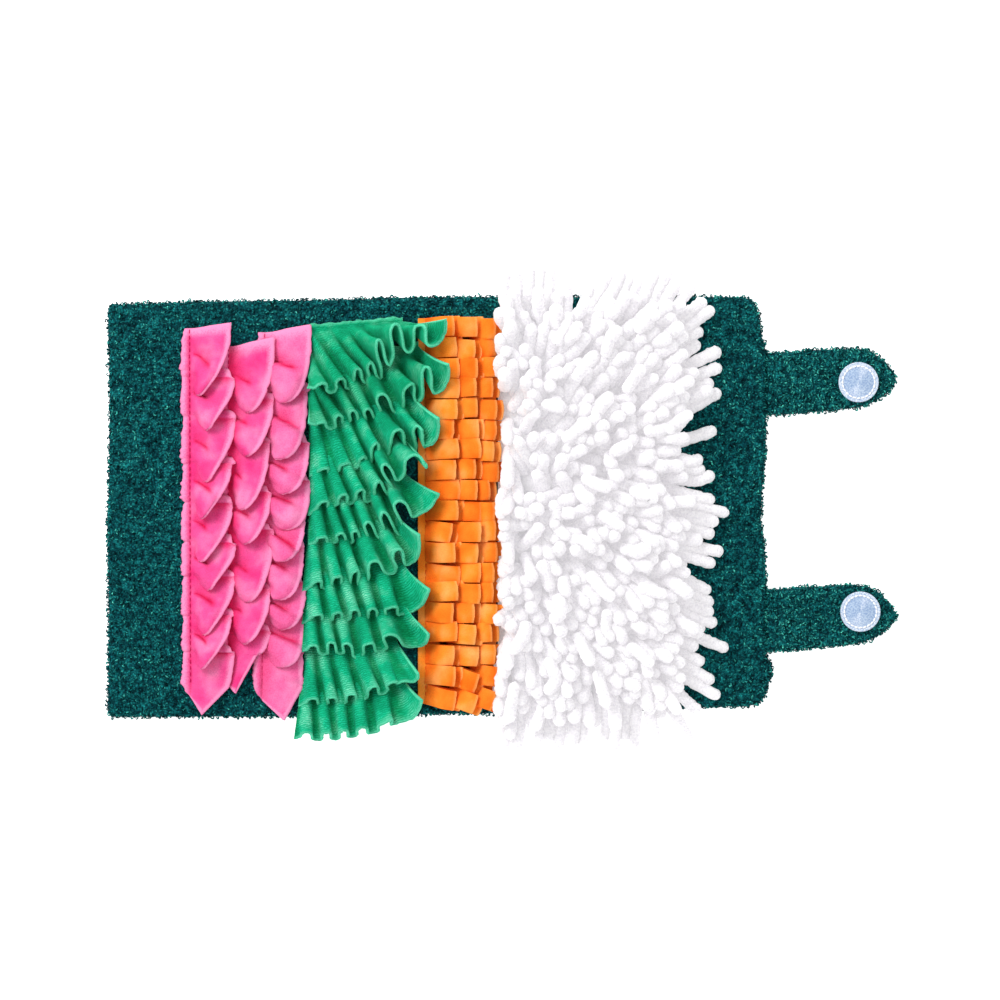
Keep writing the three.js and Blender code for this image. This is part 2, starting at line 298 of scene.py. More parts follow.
@dataclass(frozen=True)
class Fleece:
    """Short-napped fleece, dyed through, with a paler cut edge."""

    name: str
    deep: Colour
    body: Colour
    pale: Colour
    nap: float = 0.5             # size of the fibre tufts, in millimetres
    nap_depth: float = 0.16
    brushed: bool = False        # True if the nap lies in rows along the cloth
    row: float = 1.25            # distance from row to row, in millimetres
    fringe: float = 1.0          # how much paler the cloth is along its cut edge
    sheen: float = 0.12
    kept: float = 1.0            # how much of its strongest colour the cloth keeps in its painted shade

    def cloth(self) -> list[Material]:
        """The napped face of the cloth, and its cut edge."""
        return [self.face(), self.cut_edge()]

    def face(self) -> Material:
        """The napped face.

        Returns:
            The material, with painted shade in its hollows and paler along the cut edge.
        """
        graph = Graph(self.name)
        colour = graph.ramp(graph.noise(13.0), (0.3, self.deep), (0.5, self.body), (0.8, self.pale))
        tuft = graph.noise(self.nap, 3.0)
        speck = graph.ramp(tuft, (0.32, grey(0.7)), (0.52, grey(1)), (0.72, grey(1.2)))
        colour = graph.times(0.5, colour, speck)
        normal = graph.bump(tuft, self.nap_depth, 0.6)
        if self.brushed:
            rows = graph.cloth_rows(self.row)
            light = graph.ramp(rows, (0.1, (0.45, 0.74, 0.7)), (0.5, grey(1)), (0.9, (2.8, 1.22, 1.4)))
            worn = graph.ramp(graph.cloth_noise(5.0, 8.0), (0.33, grey(0.35)), (0.58, grey(1)))
            colour = graph.times(worn, colour, light)
            normal = graph.bump(rows, self.nap_depth, 0.7, normal)
        # Painted shade: the colour deepens by the share of shade painted on each point; on the orange loops
        # that share also holds each loop's own dye.
        colour = graph.mix(graph.attribute("painted_shade_and_dye"), colour, graph.times(1.0, colour, self.painted_shade_and_dye()))
        colour = graph.mix(self.rim(graph, tuft), colour, self.ends())
        return graph.finish(colour, normal, 0.92, self.sheen, self.pale)

    def painted_shade_and_dye(self) -> Colour:
        """The colour that painted shade multiplies in: deeper, as in hollows lit by the cloth round them."""
        return tuple(self.kept * (0.12 + 0.88 * level / max(self.body)) for level in self.body)

    def ends(self) -> Colour:
        """The colour of the fibres' cut ends."""
        return tuple(min(1.0, blend(first, second, 1.1)) for first, second in zip(self.body, self.pale))

    def rim(self, graph: Graph, tuft: Socket) -> Socket:
        """How much a point takes the cut edge's colour.

        Args:
            graph: The material's nodes.
            tuft: The tufts' noise, which makes it uneven.

        Returns:
            A grey from 0 to 1.
        """
        uneven = graph.ramp(tuft, (0.36, grey(0.6)), (0.62, grey(1.25)))
        near = graph.reckon(Sum.TIMES, graph.attribute("rim"), uneven)
        return graph.reckon(Sum.TIMES, near, self.fringe, clamp=True)

    def cut_edge(self) -> Material:
        """The cut edge.

        Returns:
            The material, paler where the ends of the fibres show.
        """
        graph = Graph(f"{self.name}_edge")
        tuft = graph.noise(self.nap, 3.0)
        colour = graph.ramp(tuft, (0.3, self.body), (0.55, self.ends()))
        return graph.finish(colour, graph.bump(tuft, self.nap_depth, 0.7), 0.95, self.sheen, self.pale)


@dataclass(frozen=True)
class Curls:
    """Curly boucle yarn, with shade painted in its hollows and a highlight painted on each curl's crown."""

    name: str
    deep: Colour
    body: Colour
    bright: Colour
    curl: float = 1.25           # size of a curl, in millimetres

    def material(self) -> Material:
        """The yarn.

        Returns:
            The material, each curl in its own tone, with painted glints as bright flecks, darker clumps, and
            painted highlight and shade on the crowns and edges of its cells.
        """
        graph = Graph(self.name)
        colour = graph.ramp(graph.attribute("tone"), (0.0, self.deep), (0.5, self.body), (1.0, self.bright))
        cells = graph.node("ShaderNodeTexVoronoi", {
            "Vector": graph.coordinates, "Scale": 1 / (self.curl * MM), "Randomness": 1.0,
        }).outputs["Distance"]
        # Painted highlight and shade: each cell is lighter on its crown and darker at its edges, as the bump
        # below shapes it.
        crown = graph.ramp(cells, (0.1, (1.6, 1.5, 1.45)), (0.4, grey(0.9)), (0.72, (0.2, 0.26, 0.3)))
        fibre = graph.noise(0.75)
        # Painted glints: bright flecks on the fibres.
        painted_glint = graph.ramp(fibre, (0.36, (0.3, 0.4, 0.45)), (0.54, grey(1)), (0.68, (3.4, 1.8, 1.8)))
        clump = graph.ramp(graph.noise(2.8, 1.0), (0.36, (0.25, 0.42, 0.5)), (0.5, grey(1)),
                           (0.64, (1.5, 1.35, 1.3)))
        for share, pattern in ((0.9, crown), (0.8, painted_glint), (0.85, clump)):
            colour = graph.times(share, colour, pattern)
        normal = graph.bump(cells, -0.7, 0.8, graph.bump(fibre, 0.2, 0.6))
        return graph.finish(colour, normal, 0.7, tint=self.bright, specular=0.04)


@dataclass(frozen=True)
class Chenille:
    """White chenille: dense soft tufts in rings round each noodle."""

    name: str
    body: Colour
    shade: Colour
    ring: float = 1.7            # distance from ring to ring of tufts, in millimetres
    painted_glow: float = 0.213          # painted light: the noodles give off a little light of their own, standing in for light that finds its way through the pile
    depth: float = 8.0           # how deep light reaches into the pile, in millimetres

    def material(self) -> Material:
        """The chenille's tufts.

        Returns:
            The material, soft, with painted light of its own.
        """
        graph = Graph(self.name)
        tuft = graph.noise(1.1, 3.0)
        rings = graph.waves(graph.attribute("tone"), math.tau / self.ring)
        normal = graph.bump(tuft, 0.8, 0.7, graph.bump(rings, 0.15, 0.6))
        return graph.finish(
            graph.ramp(tuft, (0.34, self.shade), (0.56, self.body)), normal, 1.0, specular=0.03,
            Subsurface_Weight=0.8, Subsurface_Radius=grey(1), Subsurface_Scale=self.depth * MM,
            Emission_Color=grey(1), Emission_Strength=self.painted_glow)


@dataclass(frozen=True)
class FastenerCloth:
    """The loop side of a sewn-on fastener: a fine woven face with a painted satin sheen."""

    name: str
    body: Colour
    pale: Colour
    shade: Colour
    painted_sheen: Colour
    weave: float = 0.8           # pitch of the weave, in millimetres
    streak: float = 20.0         # direction of the painted sheen streak, in degrees

    def material(self, middle: Vector, radius: float) -> Material:
        """The woven loops.

        Args:
            middle: The disc's middle, in millimetres.
            radius: The disc's radius, in millimetres.

        Returns:
            The material, whose painted sheen streak runs across that disc and whose rim is paler.
        """
        graph = Graph(self.name)
        place = {"Vector": graph.coordinates, "Location": tuple(-middle * MM)}
        centred = graph.node("ShaderNodeMapping", place).outputs[0]
        turn = {"Vector": centred, "Rotation": (0.0, 0.0, math.radians(self.streak))}
        turned = graph.node("ShaderNodeMapping", turn).outputs[0]
        fan = graph.node("ShaderNodeTexGradient", {"Vector": turned}, gradient_type="RADIAL").outputs[0]
        # Painted sheen: a lighter streak in a fan round the disc's middle.
        painted_sheen_fan = graph.ramp(fan, (0.0, self.shade), (0.14, self.shade), (0.25, self.painted_sheen), (0.34, self.body),
                          (0.48, self.shade), (0.66, self.shade), (0.76, self.painted_sheen), (0.82, self.shade))
        speck = graph.noise(self.weave)
        grain = graph.ramp(speck, (0.38, (0.58, 0.66, 0.8)), (0.6, (1.25, 1.2, 1.1)))
        inner = graph.times(0.7, painted_sheen_fan, grain)
        flat = {0: centred, 1: (1.0, 1.0, 0.0)}
        plan = graph.node("ShaderNodeVectorMath", flat, operation="MULTIPLY").outputs[0]
        away = graph.node("ShaderNodeVectorMath", {0: plan}, operation="LENGTH").outputs["Value"]
        outer = graph.ramp(graph.reckon(Sum.SHARE_OF, away, radius * MM), (0.72, grey(0)), (0.80, grey(1)))
        colour = graph.mix(outer, inner, graph.ramp(speck, (0.38, self.shade), (0.62, self.pale)))
        ribs = graph.node("ShaderNodeTexWave", {
            "Vector": graph.coordinates, "Scale": 1 / (self.weave * MM * math.tau) * 2,
            "Distortion": 2.0, "Detail": 1.0,
        }, wave_type="BANDS", bands_direction="DIAGONAL").outputs["Fac"]
        normal = graph.bump(ribs, 0.16, 0.6, graph.bump(speck, 0.3, 0.7))
        return graph.finish(colour, normal, 0.5, tint=self.pale, specular=0.2)


@dataclass(frozen=True)
class Plain:
    """A plain thread or a plain floor."""

    name: str
    body: Colour
    roughness: float = 0.8
    grain: float = 0.3
    lit: float = 0.0             # light that comes through it, as from a lit table

    def material(self) -> Material:
        """The finish.

        Returns:
            The material, with a faint grain.
        """
        graph = Graph(self.name)
        normal = graph.bump(graph.noise(self.grain, 1.0), 0.05, 0.3)
        light = {"Emission_Color": grey(1), "Emission_Strength": self.lit} if self.lit else {}
        return graph.finish(self.body, normal, self.roughness, **light)


PINK = Fleece("pink_fleece", rgb(224, 54, 124), rgb(230, 80, 144), rgb(238, 134, 180), nap=0.7,
              nap_depth=0.34, fringe=1.9, sheen=0.03, kept=0.86)
GREEN = Fleece("green_fleece", rgb(7, 150, 104), rgb(16, 178, 128), rgb(94, 213, 170), nap_depth=0.36,
               brushed=True, sheen=0.10, kept=0.45)
ORANGE = Fleece("orange_fleece", rgb(251, 120, 28), rgb(253, 144, 46), rgb(255, 180, 104))
CURLY = Curls("curly_green", rgb(2, 40, 46), rgb(14, 108, 110), rgb(64, 188, 172))
WHITE = Chenille("white_chenille", rgb(219, 216, 219), rgb(203, 200, 206))
COIN = FastenerCloth("fastener_blue", rgb(180, 198, 222), rgb(222, 230, 240), rgb(162, 183, 212),
                     rgb(196, 209, 230))
PINK_THREAD = Plain("pink_thread", rgb(188, 14, 84))
ORANGE_THREAD = Plain("orange_thread", rgb(232, 76, 20))
WHITE_THREAD = Plain("white_thread", rgb(248, 249, 253), roughness=0.5)
FLOOR = Plain("pale_floor", rgb(250, 250, 250), roughness=0.9, grain=40.0, lit=0.7)


# ---- Making pieces -------------------------------------------------------------


def placed(name: str, data: bpy.types.ID) -> bpy.types.Object:
    """Puts a new object into the scene.

    Args:
        name: The object's name.
        data: Its mesh, light or camera.

    Returns:
        The object.
    """
    made = bpy.data.objects.new(name, data)
    bpy.context.scene.collection.objects.link(made)
    return made


def mesh_from(name: str, shape: Shape) -> bpy.types.Mesh:
    """Writes a shape into a new mesh.

    Args:
        name: The mesh's name.
        shape: The shape; it is freed.

    Returns:
        The mesh.
    """
    mesh = bpy.data.meshes.new(name)
    shape.to_mesh(mesh)
    shape.free()
    return mesh


def add_mesh(shape: Shape, mesh: bpy.types.Mesh) -> Shape:
    """Adds a mesh to a shape.

    Args:
        shape: The shape.
        mesh: The mesh; it is removed.

    Returns:
        The shape.
    """
    shape.from_mesh(mesh)
    bpy.data.meshes.remove(mesh)
    return shape


def piece(name: str, shape: Shape, materials: Sequence[Material], slot: str,
          *stands_for: str) -> bpy.types.Object:
    """Turns a finished shape into a piece that rides on the toy.

    Args:
        name: The piece's name.
        shape: Its mesh, in metres and in place; it is freed.
        materials: Its materials, in the order of their numbers on the faces.
        slot: The record's material slot; it is not used.
        stands_for: The frame's nodes that it takes the place of.

    Returns:
        The new object.
    """
    mesh = mesh_from(name, shape)
    mesh.shade_smooth()
    made = placed(name, mesh)
    for material in materials:
        mesh.materials.append(material)
    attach(made, "root")
    if stands_for:
        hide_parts(*stands_for)
    return made


def modify(made: bpy.types.Object, name: str, kind: str, **settings: object) -> None:
    """Adds a modifier of that name, kind and settings."""
    modifier = made.modifiers.new(name, kind)
    for setting, value in settings.items():
        setattr(modifier, setting, value)


def thicken(made: bpy.types.Object, thickness: float, edge: bool = True, taper: float = 1.0) -> None:
    """Gives a sheet its thickness to both sides.

    Args:
        made: The sheet.
        thickness: In millimetres.
        edge: True if the cut edge takes the second material.
        taper: Share of the thickness that is left at the cut edge.
    """
    full = made.vertex_groups.new(name="full")
    modify(made, "thickness", "SOLIDIFY", thickness=thickness * MM, offset=0.0, use_quality_normals=True,
           material_offset_rim=int(edge), vertex_group=full.name, thickness_vertex_group=taper)


def cloth_grid(across: int, along: int, place: Callable[[float, float], Vector], width: float, length: float,
               frayed: float = 1.2, painted_shade_and_dye: Callable[[float, float], float] | None = None) -> Shape:
    """A grid of cloth, laid in its folds.

    Args:
        across: Faces from the seam to the free edge.
        along: Faces along the seam.
        place: Gives a point in millimetres for its two shares, across and along.
        width: The cloth's cut width, in millimetres.
        length: Its cut length, in millimetres.
        frayed: How far the paler cut edge reaches inwards, in millimetres.
        painted_shade_and_dye: Gives how much shade is painted on a point, from 0 to 1, for its two shares.

    Returns:
        The mesh, in metres.
    """
    grid = bmesh.new()
    flat_map = grid.loops.layers.uv.new("UVMap")
    rim, deep = (grid.verts.layers.float.new(name) for name in ("rim", "painted_shade_and_dye"))
    full = grid.verts.layers.deform.verify()
    bmesh.ops.create_grid(grid, x_segments=across, y_segments=along, size=0.5)
    for face in grid.faces:
        for corner in face.loops:
            spot = corner.vert.co
            corner[flat_map].uv = ((spot.x + 0.5) * width / CLOTH_MAP, (spot.y + 0.5) * length / CLOTH_MAP)
    for vert in grid.verts:
        u, v = vert.co.x + 0.5, vert.co.y + 0.5
        inward = min((1 - u) * width, u * width, min(v, 1 - v) * length)
        vert[full][0] = ease(inward / FULL_THICKNESS)
        # Painted shade: each point's share of shade, with the paler cut edge fading out under it.
        vert[deep] = painted_shade_and_dye(u, v) if painted_shade_and_dye else 0.0
        vert[rim] = max(0.0, 1 - inward / frayed) * (1 - 0.75 * vert[deep])
        vert.co = place(u, v) * MM
    bmesh.ops.recalc_face_normals(grid, faces=grid.faces)
    if sum(face.normal.z * face.calc_area() for face in grid.faces) < 0:
        bmesh.ops.reverse_faces(grid, faces=grid.faces)
    return grid


def gathered(node: str, word: str, shape: Shape, cut_width: float, finish: Fleece, thickness: float,
             taper: float = 1.0) -> None:
    """Makes a gathered strip of cloth in place of the frame's solid.

    Args:
        node: The frame's node.
        word: What the piece is called where the node is called a frill.
        shape: The cloth's middle surface, in metres; it is freed.
        cut_width: The width it is cut to, in metres.
        finish: Its finish.
        thickness: In millimetres.
        taper: Share of the thickness that is left at the cut edge.
    """
    length = sum(face.calc_area() for face in shape.faces) / cut_width
    made = piece(node.replace("frill", word), shape, CLOTHS[finish.name], finish.name, node)
    thicken(made, thickness, taper=taper)
    LOG.info("%s: cut %.0f mm long", node, length / MM)


def joined(template: Shape, lay: Callable[[np.ndarray], tuple[np.ndarray, np.ndarray]]) -> Shape:
    """Joins many copies of one small shape.

    Args:
        template: The small shape; it is freed.
        lay: Given its points, gives those of each copy in millimetres, and a grey for each point.

    Returns:
        The joined shape, in metres, with the greys as the attribute "tone".
    """
    template.verts.ensure_lookup_table()
    points = np.array([vert.co for vert in template.verts])
    corners = np.array([vert.index for face in template.faces for vert in face.verts])
    sizes = np.array([len(face.verts) for face in template.faces])
    template.free()
    laid, tones = lay(points)
    count, each = laid.shape[:2]
    starts = np.concatenate(([0], np.cumsum(np.tile(sizes, count))[:-1]))
    mesh = bpy.data.meshes.new("copies")
    mesh.vertices.add(count * each)
    mesh.vertices.foreach_set("co", (laid * MM).reshape(-1).astype(np.float32))
    mesh.loops.add(count * len(corners))
    numbers = corners[None, :] + np.arange(count)[:, None] * each
    mesh.loops.foreach_set("vertex_index", numbers.reshape(-1).astype(np.int32))
    mesh.polygons.add(count * len(sizes))
    mesh.polygons.foreach_set("loop_start", starts.astype(np.int32))
    mesh.update(calc_edges=True)
    mesh.attributes.new("tone", "FLOAT", "POINT").data.foreach_set("value", tones.astype(np.float32))
    return add_mesh(bmesh.new(), mesh)


def copies(template: Shape, places: Sequence[Matrix], tones: np.ndarray) -> Shape:
    """Joins copies of a small shape that are only turned, scaled and moved.

    Args:
        template: The small shape, in millimetres; it is freed.
        places: Where each copy goes, in millimetres.
        tones: One grey for each copy.

    Returns:
        The joined shape, in metres.
    """
    turns = np.array(places)

    def lay(points: np.ndarray) -> tuple[np.ndarray, np.ndarray]:
        """Turns and moves the points to every place."""
        laid = np.einsum("nij,vj->nvi", turns[:, :3, :3], points) + turns[:, None, :3, 3]
        return laid, np.repeat(tones, len(points))

    return joined(template, lay)


def stitch_row(name: str, centres: Sequence[Vector], directions: Sequence[Vector], length: float,
               radius: float, finish: Plain, slot: str) -> None:
    """Makes a row of sewn stitches, each a short thread with sunken ends.

    Args:
        name: The piece's name.
        centres: The middle of each stitch, in millimetres.
        directions: The direction of each.
        length: The length of a stitch, in millimetres.
        radius: The thread's radius, in millimetres.
        finish: The thread's finish.
        slot: The record's material slot.
    """
    thread = bmesh.new()
    bmesh.ops.create_uvsphere(thread, u_segments=6, v_segments=5, radius=1.0)
    bmesh.ops.scale(thread, verts=thread.verts, vec=(radius, radius, length / 2))
    places = [Matrix.Translation(centre) @ direction.to_track_quat("Z", "Y").to_matrix().to_4x4()
              for centre, direction in zip(centres, directions)]
    piece(name, copies(thread, places, np.ones(len(places))), CLOTHS[finish.name], slot)


# ---- The curly mat and its straps ----------------------------------------------


@dataclass
class CurlyCloth:
    """A panel of curly cloth: a knobbly body from the frame's solid, and curls over it."""

    node: str
    flat: tuple[float, float]
    seed: int
    voxel: float = 1.9           # grid of the knobbly body
    knob: float = 2.6            # size of its knobs
    knob_height: float = 0.8
    curl_radius: float = 0.66
    yarn: float = 0.38           # the yarn's own radius
    spacing: float = 1.42        # between curls
    lowest: float = 1.3          # height of the lowest curls above the floor
    tuck: float = 0.0            # how far the left end reaches under its neighbour
    lighter: float = 0.0         # how much lighter the curls are than the mat's
    bare: tuple[float, ...] = (0, 0, 0, 0)       # left, bottom, right and top of the part that is covered

    def body(self) -> bpy.types.Object:
        """Builds the knobbly body in place of the frame's solid.

        Returns:
            The body's piece.
        """
        shape = bmesh.new()
        shape.from_mesh(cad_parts[self.node].data)
        bmesh.ops.remove_doubles(shape, verts=shape.verts, dist=0.01 * MM)
        made = piece(f"{self.node}_cloth", shape, CLOTHS["curly_green"], "curly_green", self.node)
        modify(made, "even_grid", "REMESH", mode="VOXEL", voxel_size=self.voxel * MM)
        even = bpy.data.meshes.new_from_object(made.evaluated_get(bpy.context.evaluated_depsgraph_get()))
        made.modifiers.clear()
        low = min(vert.co.z for vert in even.vertices)
        left = min(vert.co.x for vert in even.vertices) / MM
        tones = []
        for vert in even.vertices:
            x, y, z = vert.co / MM
            height = ripple(x, y, z, self.knob) + 0.5 * ripple(x, y, z + 40, self.knob / 2)
            if vert.co.z - low > self.voxel * MM:
                vert.co += vert.normal * (self.knob_height * (height - 0.8)) * MM
            vert.co.z = max(vert.co.z, 0.1 * MM)
            vert.co.x -= self.tuck * (1 - ease((x - left) / 6)) * MM
            # Painted shade and highlight: the body's tone is darker where its knobs sink and lighter where
            # they stand out.
            tones.append(0.34 + 0.3 * height)
        even.attributes.new("tone", "FLOAT", "POINT").data.foreach_set("value", tones)
        even.materials.clear()
        even.materials.append(CLOTHS["curly_green"][0])
        made.data = even
        even.shade_smooth()
        tuple(size * MM for size in self.flat)
        return made

    def seats(self, body: bpy.types.Object) -> tuple[np.ndarray, np.ndarray]:
        """Chooses where the curls sit on the top and the sides of the cloth.

        Args:
            body: The knobbly body.

        Returns:
            The seats' points and normals, in millimetres.
        """
        draw = np.random.default_rng(self.seed)
        points, normals = [], []
        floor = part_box(self.node)[0][2] / MM + self.lowest
        left, bottom, right, top = self.bare
        for face in body.data.polygons:
            centre = face.center / MM
            if centre.z < floor or left < centre.x < right and bottom < centre.y < top:
                continue
            if draw.random() < face.area / MM ** 2 / self.spacing ** 2:
                seat = np.array(centre) + draw.normal(0, 0.45, 3)
                seat[2] = max(seat[2], floor)
                points.append(seat)
                normals.append(np.array(face.normal))
        return np.array(points), np.array(normals)

    def curl(self) -> Shape:
        """One curl of yarn.

        Returns:
            Two thirds of a ring that stands on the origin, closed at both ends, in millimetres.
        """
        curl = bmesh.new()
        upright = Matrix.Rotation(math.pi / 2, 3, "X")
        made = bmesh.ops.create_circle(curl, segments=3, radius=self.yarn, cap_ends=True)
        bmesh.ops.rotate(curl, verts=made["verts"], cent=(0, 0, 0), matrix=upright)
        bmesh.ops.translate(curl, verts=made["verts"], vec=(self.curl_radius, 0, 0))
        bmesh.ops.spin(curl, geom=curl.faces[:] + curl.edges[:] + curl.verts[:], cent=(0, 0, 0),
                       axis=(0, 0, 1), angle=math.radians(240), steps=4, use_merge=False, use_duplicate=False)
        bmesh.ops.recalc_face_normals(curl, faces=curl.faces)
        bmesh.ops.rotate(curl, verts=curl.verts, cent=(0, 0, 0), matrix=upright)
        return curl

    def build(self, *parts: tuple[str, float, float]) -> None:
        """Builds the cloth and covers it with curls.

        Args:
            parts: Pieces to share the curls among, each a name and its range along X.
        """
        points, normals = self.seats(self.body())
        draw = np.random.default_rng(self.seed + 50)
        for name, left, right in parts:
            inside = (points[:, 0] >= left) & (points[:, 0] < right)
            places = []
            for point, normal in zip(points[inside], normals[inside]):
                lean = Vector(normal) + Vector(draw.normal(0, 0.42, 3))
                turn = Matrix.Rotation(draw.uniform(0, math.tau), 4, "Z")
                stand = lean.normalized().to_track_quat("Z", "Y").to_matrix().to_4x4()
                size = Matrix.Scale(draw.uniform(0.75, 1.25), 4)
                places.append(Matrix.Translation(Vector(point)) @ stand @ turn @ size)
            tones = np.clip(draw.normal(0.52 + self.lighter, 0.24, len(places)), 0, 1)
            piece(name, copies(self.curl(), places, tones), CLOTHS["curly_green"], "curly_green")
            LOG.info("%s: %d curls", name, len(places))


# ---- Fastener discs ------------------------------------------------------------


@dataclass
class FastenerDisc:
    """A round sewn-on fastener: a woven coin with a raised rim and a ring of stitches."""

    node: str
    rim: float = 0.35            # height of the raised rim
    stitches: int = 24
    ring: float = 0.80           # the stitch ring's radius, as a share of the disc's
    slant: float = 0.12          # turn of each stitch from the ring, in radians
    sunk: float = 0.12           # how deep the stitches sit
    stitch_share: float = 0.98   # length of a stitch, as a share of the way to the next
    thread: float = 0.5          # the thread's radius
    sharp: float = 1.2           # angle in radians from which an edge is rounded off

    def build(self) -> None:
        """Builds the coin and its stitches in place of the frame's disc."""
        low, high = (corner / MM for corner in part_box(self.node))
        middle = (low + high) / 2
        radius = (high.y - low.y) / 2
        coin = bmesh.new()
        bmesh.ops.create_circle(coin, segments=64, radius=radius, cap_ends=True)
        raised = bmesh.ops.extrude_face_region(coin, geom=coin.faces[:])
        top = next(part for part in raised["geom"] if isinstance(part, bmesh.types.BMFace))
        bmesh.ops.translate(coin, verts=top.verts, vec=(0, 0, high.z - low.z))
        for inset, step in ((0.8, 0.0), (0.6, -self.rim), (0.9, 0.0), (0.7, self.rim * 0.9)):
            bmesh.ops.inset_region(coin, faces=[top], thickness=inset, use_even_offset=True)
            bmesh.ops.translate(coin, verts=top.verts, vec=(0, 0, step))
        bmesh.ops.poke(coin, faces=[top])
        rim = [edge for edge in coin.edges if edge.calc_face_angle(0) > self.sharp]
        bmesh.ops.bevel(coin, geom=rim, offset=0.3, segments=2, affect="EDGES", profile=0.5, material=-1)
        bmesh.ops.recalc_face_normals(coin, faces=coin.faces)
        bmesh.ops.translate(coin, verts=coin.verts, vec=(middle.x, middle.y, low.z))
        bmesh.ops.scale(coin, verts=coin.verts, vec=(MM, MM, MM))
        piece(f"{self.node}_coin", coin, [COIN.material(middle, radius)], "fastener_blue", self.node)
        ring = radius * self.ring
        angles = [math.tau * number / self.stitches for number in range(self.stitches)]
        centres = [Vector((middle.x + ring * math.cos(a), middle.y + ring * math.sin(a), high.z - self.sunk))
                   for a in angles]
        directions = [Vector((-math.sin(a + self.slant), math.cos(a + self.slant), 0.0)) for a in angles]
        length = math.tau * ring / self.stitches * self.stitch_share
        stitch_row(f"{self.node}_stitches", centres, directions, length, self.thread, WHITE_THREAD,
                   "fastener_blue")
        LOG.info("%s: %d stitches", self.node, self.stitches)


# ---- Pink pleated frills -------------------------------------------------------


class Rib(NamedTuple):
    """One line of cloth from the seam to the free edge, at its place in a pleat."""

    along: float                 # share of the pleat's width at the seam
    lean: float                  # direction in plan, in degrees from the frill's own
    reach: float                 # share of the frill's reach that it covers in plan
    rise: float                  # height of its free end


def pleat(leans: Sequence[float], reaches: Sequence[float], rises: Sequence[float]) -> list[Rib]:
    """A knife pleat: a broad lap, its crease, and the cloth that doubles back under it."""
    places = (0.0, 0.30, 0.56, 0.75, 0.87, 0.925, 0.95, 0.975, 1.0)
    return [Rib(*rib) for rib in zip(places, leans, reaches, rises)]


def through(ribs: Sequence[Rib], share: float) -> Rib:
    """The rib at a place in a pleat, on smooth curves through the stated ones.

    Args:
        ribs: The stated ribs, from share 0 to share 1.
        share: Place in the pleat, counted evenly from rib to rib.

    Returns:
        The rib there.
    """
    place = share * (len(ribs) - 1)
    number = min(int(place), len(ribs) - 2)
    four = (ribs[max(number - 1, 0)], ribs[number], ribs[number + 1], ribs[min(number + 2, len(ribs) - 1)])
    return Rib(*(spline(*values, place - number) for values in zip(*four)))


LONG_PLEAT = pleat((-1, -7, -21, -37, -50, -54, -10, 8, -1), (1, 0.96, 0.80, 0.68, 0.63, 0.54, 0.50, 0.88, 1),
                   (4.5, 7, 9.5, 11, 8.5, 4.5, 1.2, 2, 4.5))
BROAD_PLEAT = pleat((3, -6, -19, -32, -42, -44, -8, 10, 3), (1, 0.98, 0.88, 0.77, 0.63, 0.47, 0.50, 0.88, 1),
                    (4.5, 7, 9.5, 11, 9, 4.5, 1.2, 2, 4.5))
PUFFED_PLEAT = pleat((1, -4, -15, -26, -37, -48, -28, 11, 1), (1, 1, 0.97, 0.89, 0.72, 0.48, 0.38, 0.86, 1),
                     (4, 6, 8.5, 9.5, 8.5, 5, 1.2, 2, 4))


